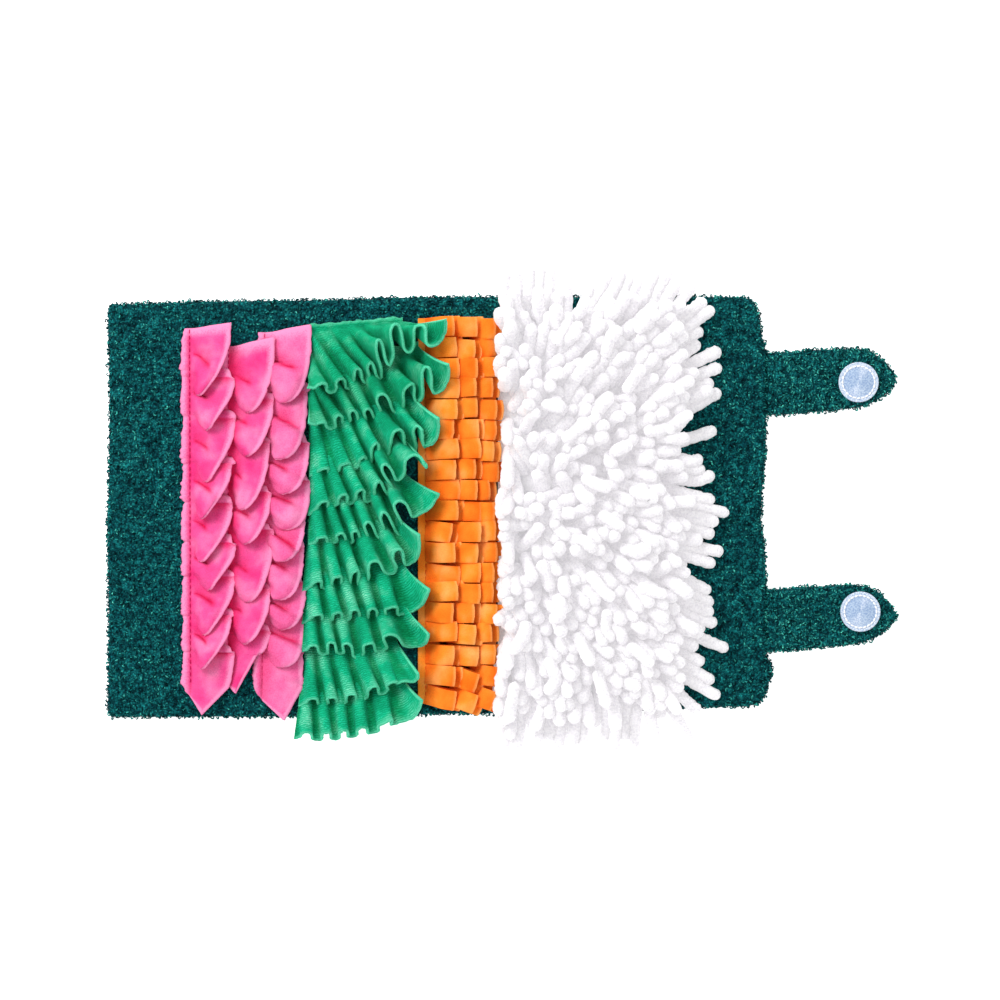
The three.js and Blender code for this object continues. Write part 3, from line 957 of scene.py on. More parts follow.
@dataclass
class PinkFrill:
    """A strip of pink fleece in knife pleats, sewn down along its left edge."""

    node: str
    start: tuple[float, float]
    end: tuple[float, float]
    folds: tuple[float, ...]     # each pleat's width at the seam
    reach: tuple[float, float]   # from the seam to the free edge, at both ends
    ribs: list[Rib]
    seed: int
    crease_length: float         # how far each crease runs out from the seam
    puff: float                  # how far the cloth puffs up below the crease
    corner: tuple[float, float]  # where the last pleat's free edge has its outer corner
    tip: tuple[float, float]     # where it has its tip
    hang: float                  # how far the last pleat hangs below the seam
    shade: float = 0.0           # how deep the seam lies in the shade of the frill beside it
    painted_light: float = 0.0      # painted light: how much paler the whole frill is painted, as where its puffs catch light, from 0 to 1
    thickness: float = 1.7
    margin: float = 4.8          # cloth beyond the stitches, on the far side of the seam
    lip: float = 0.5             # how far the cut edge curls up
    droop: float = 0.24          # how far the free edge sinks back, as a share of its height
    spare: float = 2.1           # cloth in the pleats, as a multiple of the seam
    frayed: float = 3.7          # width of the paler cut edge
    steps: int = 46              # faces along each pleat
    across: int = 27             # faces from the raw edge to the free edge
    stitch_pitch: float = 3.1
    stitch: float = 2.2          # length of a stitch
    thread: float = 0.3          # the thread's radius
    above: float = 60.0          # a height over all the cloth

    def pleat_at(self, share: float) -> tuple[int, float]:
        """The pleat's number and the place in it, for a place along the cloth."""
        place = min(share * len(self.folds), len(self.folds) - 1e-6)
        return int(place), place - int(place)

    def is_last(self, number: int) -> bool:
        """True for the pleat at the strip's lower end."""
        return number == len(self.folds) - 1

    def line(self, across: float, along: float) -> Vector:
        """A point of the cloth.

        Args:
            across: From the margin's raw edge at 0 to the free edge at 1.
            along: From the first pleat at 0 to the last at 1.

        Returns:
            The point, in millimetres.
        """
        number, part = self.pleat_at(along)
        rib = through(self.ribs, part)
        share = (sum(self.folds[:number]) + rib.along * self.folds[number]) / sum(self.folds)
        seam_x, seam_y = (blend(first, second, share) for first, second in zip(self.start, self.end))
        reach = blend(*self.reach, share)
        out = across * (self.margin + reach) - self.margin
        level = MAT_TOP + self.thickness / 2 + PILE_GAP
        if out < 0:
            if self.is_last(number):
                seam_y -= self.hang * blend(1, 0.35, -out / self.margin) * part ** 2
            return self.margin_point(out, seam_x, seam_y, part, level)
        v = out / reach
        vary = math.sin(1.7 * number + 2.1 * self.seed)
        other = math.sin(3.1 * number + 1.3 * self.seed)
        first = 1 - ease(part * 2) if number == 0 else 0.0
        lean = rib.lean * (1 + 0.18 * vary + 0.10 * other)
        stretch = rib.reach * (1 - 0.06 * vary + 0.05 * other * ease(1 - abs(2 * part - 1)))
        height = rib.rise * (1 - 0.15 * other)
        if self.is_last(number):
            height = blend(height, 4.0, ease(part * 3))
            seam = Vector((seam_x, seam_y - self.hang * part ** 2))
            free = (seam + Vector((reach, 0))).lerp(Vector(self.corner), ease(part / 0.4))
            x, y = seam.lerp(free.lerp(Vector(self.tip), max(0.0, part - 0.35) / 0.65), v)
        else:
            turn = math.radians((lean + 9 * first) * ease(v * 1.5 + 0.25))
            flat = reach * v * blend(1.0, stretch, v)
            x = seam_x + flat * math.cos(turn)
            y = seam_y + flat * math.sin(turn)
        rise = height * (1 + 0.14 * vary) * v ** 1.1 * (1 - self.droop * ease((v - 0.7) / 0.3))
        puff, sink = self.creased(rib.along, out, number)
        soft = 0.8 * ripple(x, y, self.seed * 9.0, 8.0) * ease(v * 3)
        curl = max(0.0, (v - 0.9) / 0.1)
        ragged = 0.7 * ripple(seam_y * 3, v * 9, self.seed, 1.1) * curl
        rise = max(rise + puff - sink, 0.0) + soft + self.lip * curl ** 1.5
        return Vector((x + ragged, y + ragged, level + rise))

    def margin_point(self, out: float, seam_x: float, seam_y: float, part: float, level: float) -> Vector:
        """A point of the raw margin, which stands out in a scallop at each pleat.

        Args:
            out: Distance from the seam, less than 0 on the margin.
            seam_x: The seam's place along X.
            seam_y: Its place along Y.
            part: Place in the pleat, from 0 to 1.
            level: Height of the cloth at the seam.

        Returns:
            The point, in millimetres.
        """
        raw = out / self.margin
        scallop = math.sin(math.pi * min(part * 1.04, 1.0)) ** 0.6
        ragged = 0.9 * ripple(seam_y, 0, self.seed, 2.2) + 0.5 * ripple(seam_y, 7, self.seed, 0.9)
        x = seam_x + out * blend(0.66, 1.0, scallop) + raw * ragged
        swell = 1.3 * scallop * math.sin(math.pi * min(-raw * 1.1, 1.0))
        swell += 0.5 * ripple(seam_y, x, self.seed, 2.4)
        dip = 0.7 * math.exp(-(out + 0.2) ** 2 * 2)
        return Vector((x, seam_y, level + swell - dip))

    def creased(self, share: float, out: float, number: int) -> tuple[float, float]:
        """How far the cloth puffs up and how far it sinks in beside a pleat's crease.

        Args:
            share: Place in the pleat at the seam, from 0 to 1.
            out: Distance from the seam, in millimetres.
            number: The pleat's number.

        Returns:
            The rise and the dip, in millimetres.
        """
        if self.is_last(number):
            return 0.0, 0.0
        start = 0.50 + 0.07 * math.sin(2.9 * number + self.seed)
        length = self.crease_length * (1 + 0.25 * math.sin(4.3 * number + self.seed))
        aside = (share - start) * self.folds[number] - 0.12 * (out - 5)
        near = ease(out / 2 - 0.4) * (1 - ease((out - length) / (length * 0.5)))
        below = ease(aside / 1.6 + 0.3) * (1 - ease((share - 0.80) * 6))
        puff = self.puff * below * ease(out / 4.5) * (1 - 0.6 * ease((out - length * 1.1) / 8))
        above = math.exp(-((aside + 2.6) / 2.4) ** 2) * 0.8
        cut = math.exp(-((aside + 0.1) / 0.85) ** 2) * 2.6
        return puff, near * (above + cut)

    def painted_shade_and_dye(self, across: float, along: float) -> float:
        """How much shade is painted on a point: in a crease, at the seam, under the pleat above, and near the
        seam in the shade of the frill beside it.

        Args:
            across: From the margin's raw edge at 0 to the free edge at 1.
            along: From the first pleat at 0 to the last at 1.

        Returns:
            From 0 to 1.
        """
        number, part = self.pleat_at(along)
        rib = through(self.ribs, part)
        out = across * (self.margin + self.reach[0]) - self.margin
        seam = 0.45 * math.exp(-(out + 0.2) ** 2)
        if out < 0:
            return seam
        sink = self.creased(rib.along, out, number)[1]
        under = (1 - ease(rib.along * 4.5 - 0.1)) * (0.85 if number else 0.0) * ease(out / 6 - 0.3)
        beside = self.shade * (1 - ease(out / 9 - 0.1))
        return max(min(1.0, sink / 2.6), under, beside, seam)

    def build(self) -> None:
        """Builds the frill and its row of stitches in place of the frame's solid."""
        shape = cloth_grid(self.across, self.steps * len(self.folds), self.line, self.margin + self.reach[0],
                           self.spare * sum(self.folds), self.frayed, self.painted_shade_and_dye)
        rim, deep = (shape.verts.layers.float[name] for name in ("rim", "painted_shade_and_dye"))
        # Painted light: the whole frill is painted paler, except where shade is painted.
        for vert in shape.verts:
            vert[rim] = max(vert[rim], self.painted_light * (1 - vert[deep]))
        surface = BVHTree.FromBMesh(shape)
        cut_width = (self.margin + sum(self.reach) / 2) * MM
        gathered(self.node, "pleats", shape, cut_width, PINK, self.thickness, taper=0.35)
        self.sew(surface)

    def sew(self, surface: BVHTree) -> None:
        """Sews the stitches along the seam, each one lying on the cloth.

        Args:
            surface: The middle surface of the cloth, in metres.
        """
        start, end = Vector(self.start), Vector(self.end)
        count = int((start - end).length / self.stitch_pitch)
        centres, directions = [], []
        for number in range(count):
            place = start.lerp(end, (number + 0.5) / count)
            ends = [surface.ray_cast(Vector((place.x - 0.2, place.y + step, self.above)) * MM,
                                     Vector((0, 0, -1)))[0] for step in (self.stitch / 2, -self.stitch / 2)]
            if None in ends:
                continue
            first, second = (point / MM for point in ends)
            centres.append((first + second) / 2 + Vector((0, 0, self.thickness / 2 + 0.1)))
            directions.append((second - first).normalized())
        stitch_row(self.node.replace("frill", "stitches"), centres, directions, self.stitch, self.thread,
                   PINK_THREAD, "pink_fleece")


# ---- Green ruffles -------------------------------------------------------------


@dataclass
class GreenRuffle:
    """A strip of green fleece gathered on its upper edge, its hem standing in flutes.

    The hem winds from turn to turn: a turn away from the seam, then one towards it, and so on,
    from the left corner to the right one.
    """

    node: str
    start: tuple[float, float]
    end: tuple[float, float]
    width: float                 # the strip's width
    seed: int
    turns: tuple[tuple[float, float], ...]
    drop: float = 0.0            # how far the left end of the seam runs down beside the pink cloth
    thickness: float = 1.35
    margin: float = 3.4          # cloth beyond the stitches
    steps: int = 13              # faces from turn to turn
    across: int = 21             # faces from the gathered edge to the hem
    flute: float = 2.4           # how far flutes rise and sink where the strip lies flat
    wind: float = 0.55           # how far the hem doubles back beside its turns
    flap: float = 4.0            # how far the last leaf's hem bulges out
    over_loops: float = 6.0      # how far the right end rises to lie over the orange loops
    lean: float = 1.35           # how far the flutes lean to the right; 1 is straight down
    cut_length: float = 190.0    # nominal length of the strip, for its map
    frayed: float = 0.9          # width of the paler cut edge

    def side(self, odd: int, place: float) -> Vector:
        """A point on the smooth line through every other turn.

        Args:
            odd: 0 for the turns away from the seam, 1 for those towards it.
            place: Place along the hem, counted in turns.

        Returns:
            The point on that line, in millimetres.
        """
        points = [Vector((*turn, 0.0)) for turn in self.turns[odd::2]]
        where = (place - odd) / 2
        number = min(max(int(math.floor(where)), 0), len(points) - 2)
        first, second = points[number], points[number + 1]
        before = points[number - 1] if number else first * 2 - second
        after = points[number + 2] if number + 2 < len(points) else second * 2 - first
        return spline(before, first, second, after, min(max(where - number, -0.3), 1.3))

    def hem(self, place: float, reach: float) -> tuple[Vector, float]:
        """The hem in plan, or a line parallel to it nearer the seam.

        Args:
            place: Place along the hem, counted in turns.
            reach: Share of the waves' size, 1 at the hem.

        Returns:
            The point, and the wave's height from -1 away from the seam to 1 towards it.
        """
        wave = math.cos(math.pi * place)
        away, towards = self.side(0, place), self.side(1, place)
        middle = (away + towards) / 2
        step = 0.05
        drift = (self.side(0, place + step) + self.side(1, place + step)) / 2 - middle
        back = drift / step / math.pi * self.wind * math.sin(math.tau * place)
        left = len(self.turns) - 1 - place
        bulge = Vector((0.75, -0.66, 0)) * self.flap * math.sin(math.pi * min(left, 1.0)) * ease(1.3 - left)
        return middle + ((away - towards) / 2 * wave + back * ease(place) * ease(left) + bulge) * reach, -wave

    def line(self, across: float, along: float) -> Vector:
        """A point of the cloth.

        Args:
            across: From the gathered edge at 0 to the hem at 1.
            along: From the left end at 0 to the right end at 1.

        Returns:
            The point, in millimetres.
        """
        out = across * (self.margin + self.width) - self.margin
        place = along * (len(self.turns) - 1)
        corner = 0.22 if self.drop else 0.0
        share = (max(0.0, along - corner) / (1 - corner)) ** (1.0 if self.drop else self.lean)
        seam = Vector((*self.start, 0)).lerp(Vector((*self.end, 0)), share)
        seam.y -= self.drop * max(0.0, corner - along) / (corner or 1.0)
        level = MAT_TOP + self.thickness / 2 + PILE_GAP
        if out < 0:
            gather = 0.5 + 0.5 * math.cos(math.pi * place + 0.8)
            raw = -out / self.margin
            begun = ease(along * 5 if self.drop else 1)
            reach = raw * (2.6 + 0.7 * ripple(seam.x, 0, self.seed, 2.5)) * begun
            swell = 1.3 * gather * math.sin(math.pi * min(raw * 1.2, 1.0))
            return Vector((seam.x, seam.y + reach, level + swell))
        v = out / self.width
        end, wave = self.hem(place, 1.0)
        spare = max(0.0, self.width - (end - seam).length)
        point = seam.lerp(self.hem(place, v ** 0.7)[0], v)
        bow = 1 - ease(spare / 9)
        rise = (6.6 + 0.8 * spare) * blend(v, v ** 0.62, bow)
        size = min(1.0, (self.side(0, place) - self.side(1, place)).length / 5.5)
        size *= 1 + 0.45 * ripple(place, self.seed * 3.0, 0.5, 1.9)
        flute = self.flute * size * wave * min(v * 3, 1.0) * (0.45 + 0.55 * bow)
        soft = 0.3 * ripple(point.x, point.y, self.seed * 7.0, 6.0) * v
        over = self.over_loops * ease((point.x + 11) / 8)
        ragged = 0.4 * ripple(place * 8, v * 3, self.seed * 5.0, 0.9) * ease((v - 0.88) / 0.12)
        return Vector((point.x + ragged, point.y - ragged, level + max(rise + flute, 0.25) + soft + over))

    def painted_shade_and_dye(self, across: float, along: float) -> float:
        """How much shade is painted on a point: in the valley between two flutes, on the gathered margin, and
        over all of a ruffle whose seam runs down.

        Args:
            across: From the gathered edge at 0 to the hem at 1.
            along: From the left end at 0 to the right end at 1.

        Returns:
            From 0 to 1.
        """
        wave = math.cos(math.pi * along * (len(self.turns) - 1))
        v = across * (1 + self.margin / self.width) - self.margin / self.width
        valley = 0.75 * ease(wave * 0.8 + 0.1) * ease(v * 3) * (1 - 0.6 * ease(v * 4 - 3)) if v > 0 else 0.3
        return max(valley, 0.3 if self.drop else 0.0)

    def build(self) -> None:
        """Builds the ruffle in place of the frame's solid."""
        shape = cloth_grid(self.across, self.steps * (len(self.turns) - 1), self.line,
                           self.margin + self.width, self.cut_length, self.frayed, self.painted_shade_and_dye)
        gathered(self.node, "ruffle", shape, (self.margin + self.width) * MM, GREEN, self.thickness)


# ---- Orange strips of cut loops ------------------------------------------------


@dataclass
class LoopStrip:
    """A strip of orange fleece, folded double and cut across into standing loops."""

    node: str
    seam: float                  # place along X of the strip's seam
    length: float                # from the seam to a loop's end
    slope: float                 # how steeply the loops stand, in degrees
    seed: int
    first: float = 94.0          # upper end of the strip
    last: float = -98.0          # lower end
    count: int = 19
    slit: float = 0.1            # gap between two loops
    cloth: float = 1.4           # thickness of one layer
    depth: float = 7.0           # how far the two layers part near the loop's end
    crown: float = 0.55          # how far each loop arches from side to side
    spine: float = 4.6           # uncut cloth beyond the seam
    fan_from: int = 15           # loop from which the lower ones fan out
    fan_step: float = 5.0        # turn from each of those to the next, in degrees
    stitch_pitch: float = 3.2
    stitch: float = 2.4          # length of a stitch
    thread: float = 0.3          # the thread's radius
    under: float = 0.85          # how far the uncut cloth runs under the loops, as a share of their length

    def layer(self, share: float, side: float, upper: bool) -> Vector:
        """A point in the middle of one layer's thickness.

        Args:
            share: From the seam at 0 to the loop's end at 1.
            side: From -1 at one cut edge of the loop to 1 at the other.
            upper: True for the upper layer.

        Returns:
            The point along the loop and up from it, in millimetres.
        """
        x = share * self.length
        round_end = 0.8 * side ** 2 * ease(share * 2 - 1)
        if not upper:
            return Vector((x + 1.3 * share - round_end, 0, self.cloth / 2 + 0.5 * ease(share * 3 - 2)))
        swell = math.sin(math.pi * min(share ** 1.4 * 0.84, 1.0))
        arch = self.crown * (1 - side ** 2) * ease(share * 2.5)
        return Vector((x - round_end, 0, self.cloth * 1.5 + (self.depth - self.cloth) * swell + arch))

    def loop(self, number: int) -> Shape:
        """One loop, in place.

        Args:
            number: Its place along the strip, from 0.

        Returns:
            Its two layers with their thickness, in millimetres.
        """
        draw = np.random.default_rng(1000 * self.seed + number)
        pitch = (self.first - self.last) / self.count
        wide = pitch - self.slit
        shape = bmesh.new()
        rim, deep = (shape.verts.layers.float.new(name) for name in ("rim", "painted_shade_and_dye"))
        twist = draw.normal(0, 0.35)
        dye = draw.uniform(0.0, 0.4)
        for upper in (False, True):
            grid = bmesh.ops.create_grid(shape, x_segments=14, y_segments=6, size=0.5)
            for vert in grid["verts"]:
                share, side = vert.co.x + 0.5, vert.co.y * 2
                vert[rim] = max(0.0, 0.7 - (1 - share) * self.length / 1.2)
                # Each loop's own random dye, and painted shade near the seam, where other cloth lies over the
                # loops.
                vert[deep] = max(dye, 0.65 * (1 - ease(share * 2.2 - 0.2)))
                vert.co = self.layer(share, side, upper) + Vector((0, side * wide / 2, 0))
                vert.co.z += twist * side * share
                vert.co.x += 0.35 * ripple(side * 3, number * 5.0, self.seed * 3.0, 1.5) * ease(share * 4 - 3)
        bmesh.ops.recalc_face_normals(shape, faces=shape.faces)
        bmesh.ops.solidify(shape, geom=shape.faces[:], thickness=self.cloth)
        uneven = 0.6 * math.sin(2.1 * number + self.seam)
        stray = 1.4 if draw.random() < 0.75 else 4.0
        turn = -self.fan_step * max(0, number - self.fan_from) + draw.normal(0, 1.3) * stray
        tilt = self.slope - 2 * uneven + draw.normal(0, 1.6) * stray
        stretch = 1 + draw.normal(0.01, 0.055)
        slip = draw.normal(0, 0.35)
        lift = draw.uniform(0.0, 0.5)
        roll = draw.normal(0, 2.0)
        y = self.first - (number + 0.5) * pitch + slip
        place = Matrix.Translation((self.seam, y, MAT_TOP + 0.2 + lift))
        for angle, axis in ((turn, "Z"), (-tilt, "Y"), (roll, "X")):
            place @= Matrix.Rotation(math.radians(angle), 4, axis)
        bmesh.ops.transform(shape, matrix=place @ Matrix.Scale(stretch, 4, (1, 0, 0)), verts=shape.verts)
        return shape

    def build(self) -> None:
        """Builds the strip and its row of stitches in place of the frame's solid."""
        shape = bmesh.new()
        for name in ("rim", "painted_shade_and_dye"):
            shape.verts.layers.float.new(name)
        for number in range(self.count):
            add_mesh(shape, mesh_from("loop", self.loop(number)))
        spine = bmesh.ops.create_cube(shape, size=1.0)["verts"]
        under = self.length * self.under
        middle = (self.seam + (under - self.spine) / 2, (self.first + self.last) / 2,
                  MAT_TOP + self.cloth / 2)
        bmesh.ops.scale(shape, verts=spine, vec=(self.spine + under, self.first - self.last, self.cloth))
        bmesh.ops.translate(shape, verts=spine, vec=middle)
        bmesh.ops.scale(shape, verts=shape.verts, vec=(MM, MM, MM))
        made = piece(self.node.replace("loops", "loop_strip"), shape, CLOTHS["orange_fleece"],
                     "orange_fleece", self.node)
        modify(made, "soft_edges", "BEVEL", width=0.25 * MM, segments=2, limit_method="ANGLE",
               angle_limit=math.radians(50))
        rows = int((self.first - self.last) / self.stitch_pitch)
        centres = [Vector((self.seam - 0.7, self.first - (row + 0.5) * self.stitch_pitch,
                           MAT_TOP + self.cloth + 0.05)) for row in range(rows)]
        stitch_row(self.node.replace("loops", "stitches"), centres, [Vector((0.03, -1, 0))] * rows,
                   self.stitch, self.thread, ORANGE_THREAD, "orange_fleece")
        LOG.info("%s: %d loops", self.node, self.count)


# ---- White chenille noodles ----------------------------------------------------


@dataclass
class NoodleField:
    """The cloth of chenille noodles: a backing, and noodles that lean outwards at its rim.

    Each noodle's middle line is a chain of points. The chains grow from their roots and then
    settle: they bend under their weight and push each other aside, and soft pile presses into
    its neighbours where it is bunched.
    """

    left: float = 35.0
    right: float = 116.0
    bottom: float = -94.0
    top: float = 94.0
    columns: int = 14
    rows: int = 30
    fallen: int = 30             # noodles that lie across the others
    radius: float = 3.15
    length: float = 25.5
    crown: float = 36.4          # height of the noodles' tops
    seed: int = 7
    joints: int = 7              # points in a chain
    sides: int = 10
    rings: int = 20
    dome: int = 5                # rings in the round tip
    rounds: int = 110            # of settling
    near: float = 0.85           # how near two middle lines come, as a share of their radii
    push: float = 0.36           # share of an overlap that each push takes away
    weight: float = 0.05         # how far a noodle sinks in one round
    stiffness: float = 0.3
    past_left: float = 4.5       # how far the backing reaches past the roots
    past_right: float = 3.0
    past_ends: float = 3.0
    backing_thickness: float = 2.0

    def template(self) -> Shape:
        """The noodle before it is bent.

        Returns:
            A straight closed tube of radius 1 and height 1, its rings evenly spaced.
        """
        tube = bmesh.new()
        bmesh.ops.create_circle(tube, segments=self.sides, radius=1.0, cap_ends=True)
        for _ in range(self.rings):
            top = max(tube.faces, key=lambda face: face.calc_center_median().z)
            grown = bmesh.ops.extrude_discrete_faces(tube, faces=[top])
            bmesh.ops.translate(tube, verts=grown["faces"][0].verts, vec=(0, 0, 1 / self.rings))
        bmesh.ops.recalc_face_normals(tube, faces=tube.faces)
        return tube

    def direction(self, x: float, y: float, draw: np.random.Generator) -> np.ndarray:
        """The direction in which the noodle at a point grows.

        Args:
            x: From 0 at the left rim to 1 at the right.
            y: From -1 at the bottom rim to 1 at the top.
            draw: The random draws.

        Returns:
            The direction, of length 1.
        """
        out_x = 2.2 * x ** 1.7 + 0.5 * max(y, 0) ** 5 - 0.9 * (1 - x) ** 2 * max(-y, 0) ** 4 + 0.1
        out_y = 2.5 * math.copysign(abs(y) ** 3.4, y) + 1.1 * x * y - 0.2 * x
        stray_x, stray_y = draw.normal(0, blend(0.5, 0.3, x), 2)
        lift = 0.95 - 0.7 * max(x ** 4, abs(y) ** 8)
        return np.array(Vector((out_x + stray_x, out_y + stray_y, lift)).normalized())

    def grown(self, root: Sequence[float], out: np.ndarray, link: float,
              draw: np.random.Generator) -> np.ndarray:
        """A noodle's chain of points, slightly bent.

        Args:
            root: Where it grows, in millimetres.
            out: Its direction.
            link: Its length between two points.
            draw: The random draws.

        Returns:
            The chain.
        """
        bend = np.cross(out, draw.normal(0, 1, 3))
        along = np.arange(self.joints) * link
        return np.array(root) + np.outer(along, out) + np.outer(along ** 2 * 0.012, bend)

    def plant(self, draw: np.random.Generator) -> tuple[np.ndarray, np.ndarray]:
        """Sets every noodle straight on its root.

        Args:
            draw: The random draws.

        Returns:
            The chains of points, and each noodle's length between two points, in millimetres.
        """
        chains, links = [], []
        for row in range(self.rows):
            for column in range(self.columns):
                x = (column + (0.5 if row % 2 else 0.0)) / (self.columns - 0.5)
                y = 2 * row / (self.rows - 1) - 1
                out = self.direction(x, y, draw)
                links.append(self.length * draw.uniform(0.82, 1.16) / (self.joints - 1))
                root = (blend(self.left, self.right, x) + draw.normal(0, 1.3),
                        blend(self.bottom, self.top, (y + 1) / 2) + draw.normal(0, 0.8), MAT_TOP + 2.6)
                chains.append(self.grown(root, out, links[-1], draw))
        for number in range(self.fallen):
            x, y = (number * 0.618034) % 1.0, 1.9 * (number + 0.5) / self.fallen - 0.95
            out = self.direction(0.15 + 0.8 * x, y, draw) * (1, 1, 0)
            links.append(self.length * draw.uniform(0.6, 0.85) / (self.joints - 1))
            root = (blend(self.left + 4, self.right - 12, x), blend(self.bottom, self.top, (y + 1) / 2),
                    MAT_TOP + draw.uniform(15, 20))
            chains.append(self.grown(root, out / np.linalg.norm(out), links[-1], draw))
        return np.array(chains), np.array(links)

    def settle(self, chains: np.ndarray, links: np.ndarray, radii: np.ndarray) -> np.ndarray:
        """Lets the noodles settle beside and on each other.

        Args:
            chains: The chains of points.
            links: Each noodle's length between two points.
            radii: Each noodle's radius.

        Returns:
            The settled chains.
        """
        count, joints = chains.shape[:2]
        points = chains.reshape(-1, 3).copy()
        owner = np.repeat(np.arange(count), joints)
        size = np.repeat(radii, joints)
        free = np.tile(np.arange(joints) > 0, count).astype(float)
        free[1::joints] = 0.5
        wall = self.left - 1.5 - 2.5 * np.sin(np.arange(count) * 2.3)
        for step in range(self.rounds):
            if step % 8 == 0:
                gaps = np.linalg.norm(points[:, None] - points[None], axis=2)
                close = (gaps < 2 * self.radius + 2.0) & (owner[:, None] < owner[None])
                first, second = np.nonzero(close)
            apart = points[first] - points[second]
            gap = np.linalg.norm(apart, axis=1) + 1e-6
            want = (size[first] + size[second]) * self.near
            push = np.clip(want - gap, 0, None)[:, None] * apart / gap[:, None] * self.push
            np.add.at(points, first, push * free[first][:, None])
            np.add.at(points, second, -push * free[second][:, None])
            points[:, 2] -= self.weight * free
            chain = points.reshape(count, joints, 3)
            straight = 2 * chain[:, 1:-1] - chain[:, :-2]
            chain[:, 2:] += self.stiffness * (straight - chain[:, 2:])
            for joint in range(1, joints):
                along = chain[:, joint] - chain[:, joint - 1]
                along /= np.linalg.norm(along, axis=1)[:, None] + 1e-9
                chain[:, joint] = chain[:, joint - 1] + along * links[:, None]
            chain[:, 1:, 2] = np.maximum(chain[:, 1:, 2], MAT_TOP + radii[:, None] * 0.97)
            chain[:, 1:, 2] = np.minimum(chain[:, 1:, 2], self.crown - radii[:, None])
            chain[:, 1:, 0] = np.maximum(chain[:, 1:, 0], wall[:, None])
            points = chain.reshape(-1, 3)
        return points.reshape(count, joints, 3)

    def round_out(self, straight: np.ndarray, chain: np.ndarray, radius: float,
                  draw: np.random.Generator) -> tuple[np.ndarray, np.ndarray]:
        """Bends the straight tube along a noodle's middle line.

        Args:
            straight: The points of the straight tube.
            chain: The noodle's chain of points.
            radius: The noodle's radius.
            draw: The random draws.

        Returns:
            The noodle's points, and how far along it each one is, in millimetres.
        """
        length = float(np.linalg.norm(np.diff(chain, axis=0), axis=1).sum())
        cap = radius / length
        ring = np.rint(straight[:, 2] * self.rings)
        body = self.rings - self.dome
        turn = np.clip((ring - body) / self.dome, 0, 1) * math.radians(84)
        share = np.where(ring <= body, ring / body * (1 - cap), 1 - cap + cap * np.sin(turn))
        place = share * (len(chain) - 1)
        number = np.clip(place.astype(int), 0, len(chain) - 2)
        part = (place - number)[:, None]
        padded = np.vstack((2 * chain[0] - chain[1], chain, 2 * chain[-1] - chain[-2]))
        a, b, c, d = (padded[number + step] for step in range(4))
        heading = 0.5 * ((c - a) + 2 * (2 * a - 5 * b + 4 * c - d) * part
                         + 3 * (3 * b - a - 3 * c + d) * part ** 2)
        heading /= np.linalg.norm(heading, axis=1)[:, None]
        mean = Vector(chain[-1] - chain[0]).normalized()
        across = mean.cross(Vector((0, 1, 0)) if abs(mean.y) < 0.8 else Vector((1, 0, 0))).normalized()
        side = np.array(across) - heading * (heading @ np.array(across))[:, None]
        side /= np.linalg.norm(side, axis=1)[:, None]
        angle = np.arctan2(straight[:, 1], straight[:, 0])
        lumps = draw.uniform(0, math.tau, 3)
        knit = 0.035 * np.sin(9.0 * share * math.pi + 2 * angle + lumps[0]) \
            + 0.03 * np.sin(17.0 * share * math.pi - 3 * angle + lumps[1]) \
            + 0.05 * draw.normal(0, 1, len(share)) + 0.012 * np.cos(math.pi * ring)
        begun = np.clip(share * length / radius, 0, 1)
        root = np.sqrt(np.clip(1 - (1 - begun) ** 2, 0.01, 1))
        swell = 1 + 0.05 * np.sin(share * 5 + lumps[2])
        wide = (radius * root * np.cos(turn) * (1 + knit) * swell)[:, None]
        spread = np.cos(angle)[:, None] * side + np.sin(angle)[:, None] * np.cross(heading, side)
        return spline(a, b, c, d, part) + spread * wide, share * length

    def lay(self, straight: np.ndarray) -> tuple[np.ndarray, np.ndarray]:
        """Grows and settles the noodles, and bends a straight tube along each.

        Args:
            straight: The points of the straight tube.

        Returns:
            The points of every noodle, and how far along its noodle each one is, in millimetres.
        """
        draw = np.random.default_rng(self.seed)
        chains, links = self.plant(draw)
        radii = self.radius * draw.uniform(0.9, 1.08, len(chains))
        chains = self.settle(chains, links, radii)
        points, along = zip(*(self.round_out(straight, *noodle, draw) for noodle in zip(chains, radii)))
        LOG.info("noodles: %d", len(points))
        return np.array(points), np.array(along).reshape(-1)

    def backing(self) -> None:
        """Builds the cloth that the noodles grow from."""
        size = (self.right - self.left + self.past_left + self.past_right,
                self.top - self.bottom + 2 * self.past_ends)

        def place(across: float, along: float) -> Vector:
            """A point of the backing, for its two shares: a low mound, its rim on the mat."""
            x = blend(self.left - self.past_left, self.right + self.past_right, across)
            y = blend(self.bottom - self.past_ends, self.top + self.past_ends, along)
            inward = ease(min(across, 1 - across, 2 * along, 2 - 2 * along) * 5)
            return Vector((x, y, MAT_TOP + 1.1 + 3.5 * inward + 0.8 * ripple(x, y, 5, 6.0) * inward))

        made = piece("noodle_backing", cloth_grid(44, 96, place, *size), CLOTHS["white_chenille"],
                     "white_chenille")
        thicken(made, self.backing_thickness, edge=False)

    def build(self) -> None:
        """Builds the backing and the noodles in place of the frame's solid."""
        self.backing()
        noodles = joined(self.template(), self.lay)
        piece("noodles", noodles, CLOTHS["white_chenille"], "white_chenille", "noodle_pile")


# ---- Floor, light and camera ---------------------------------------------------


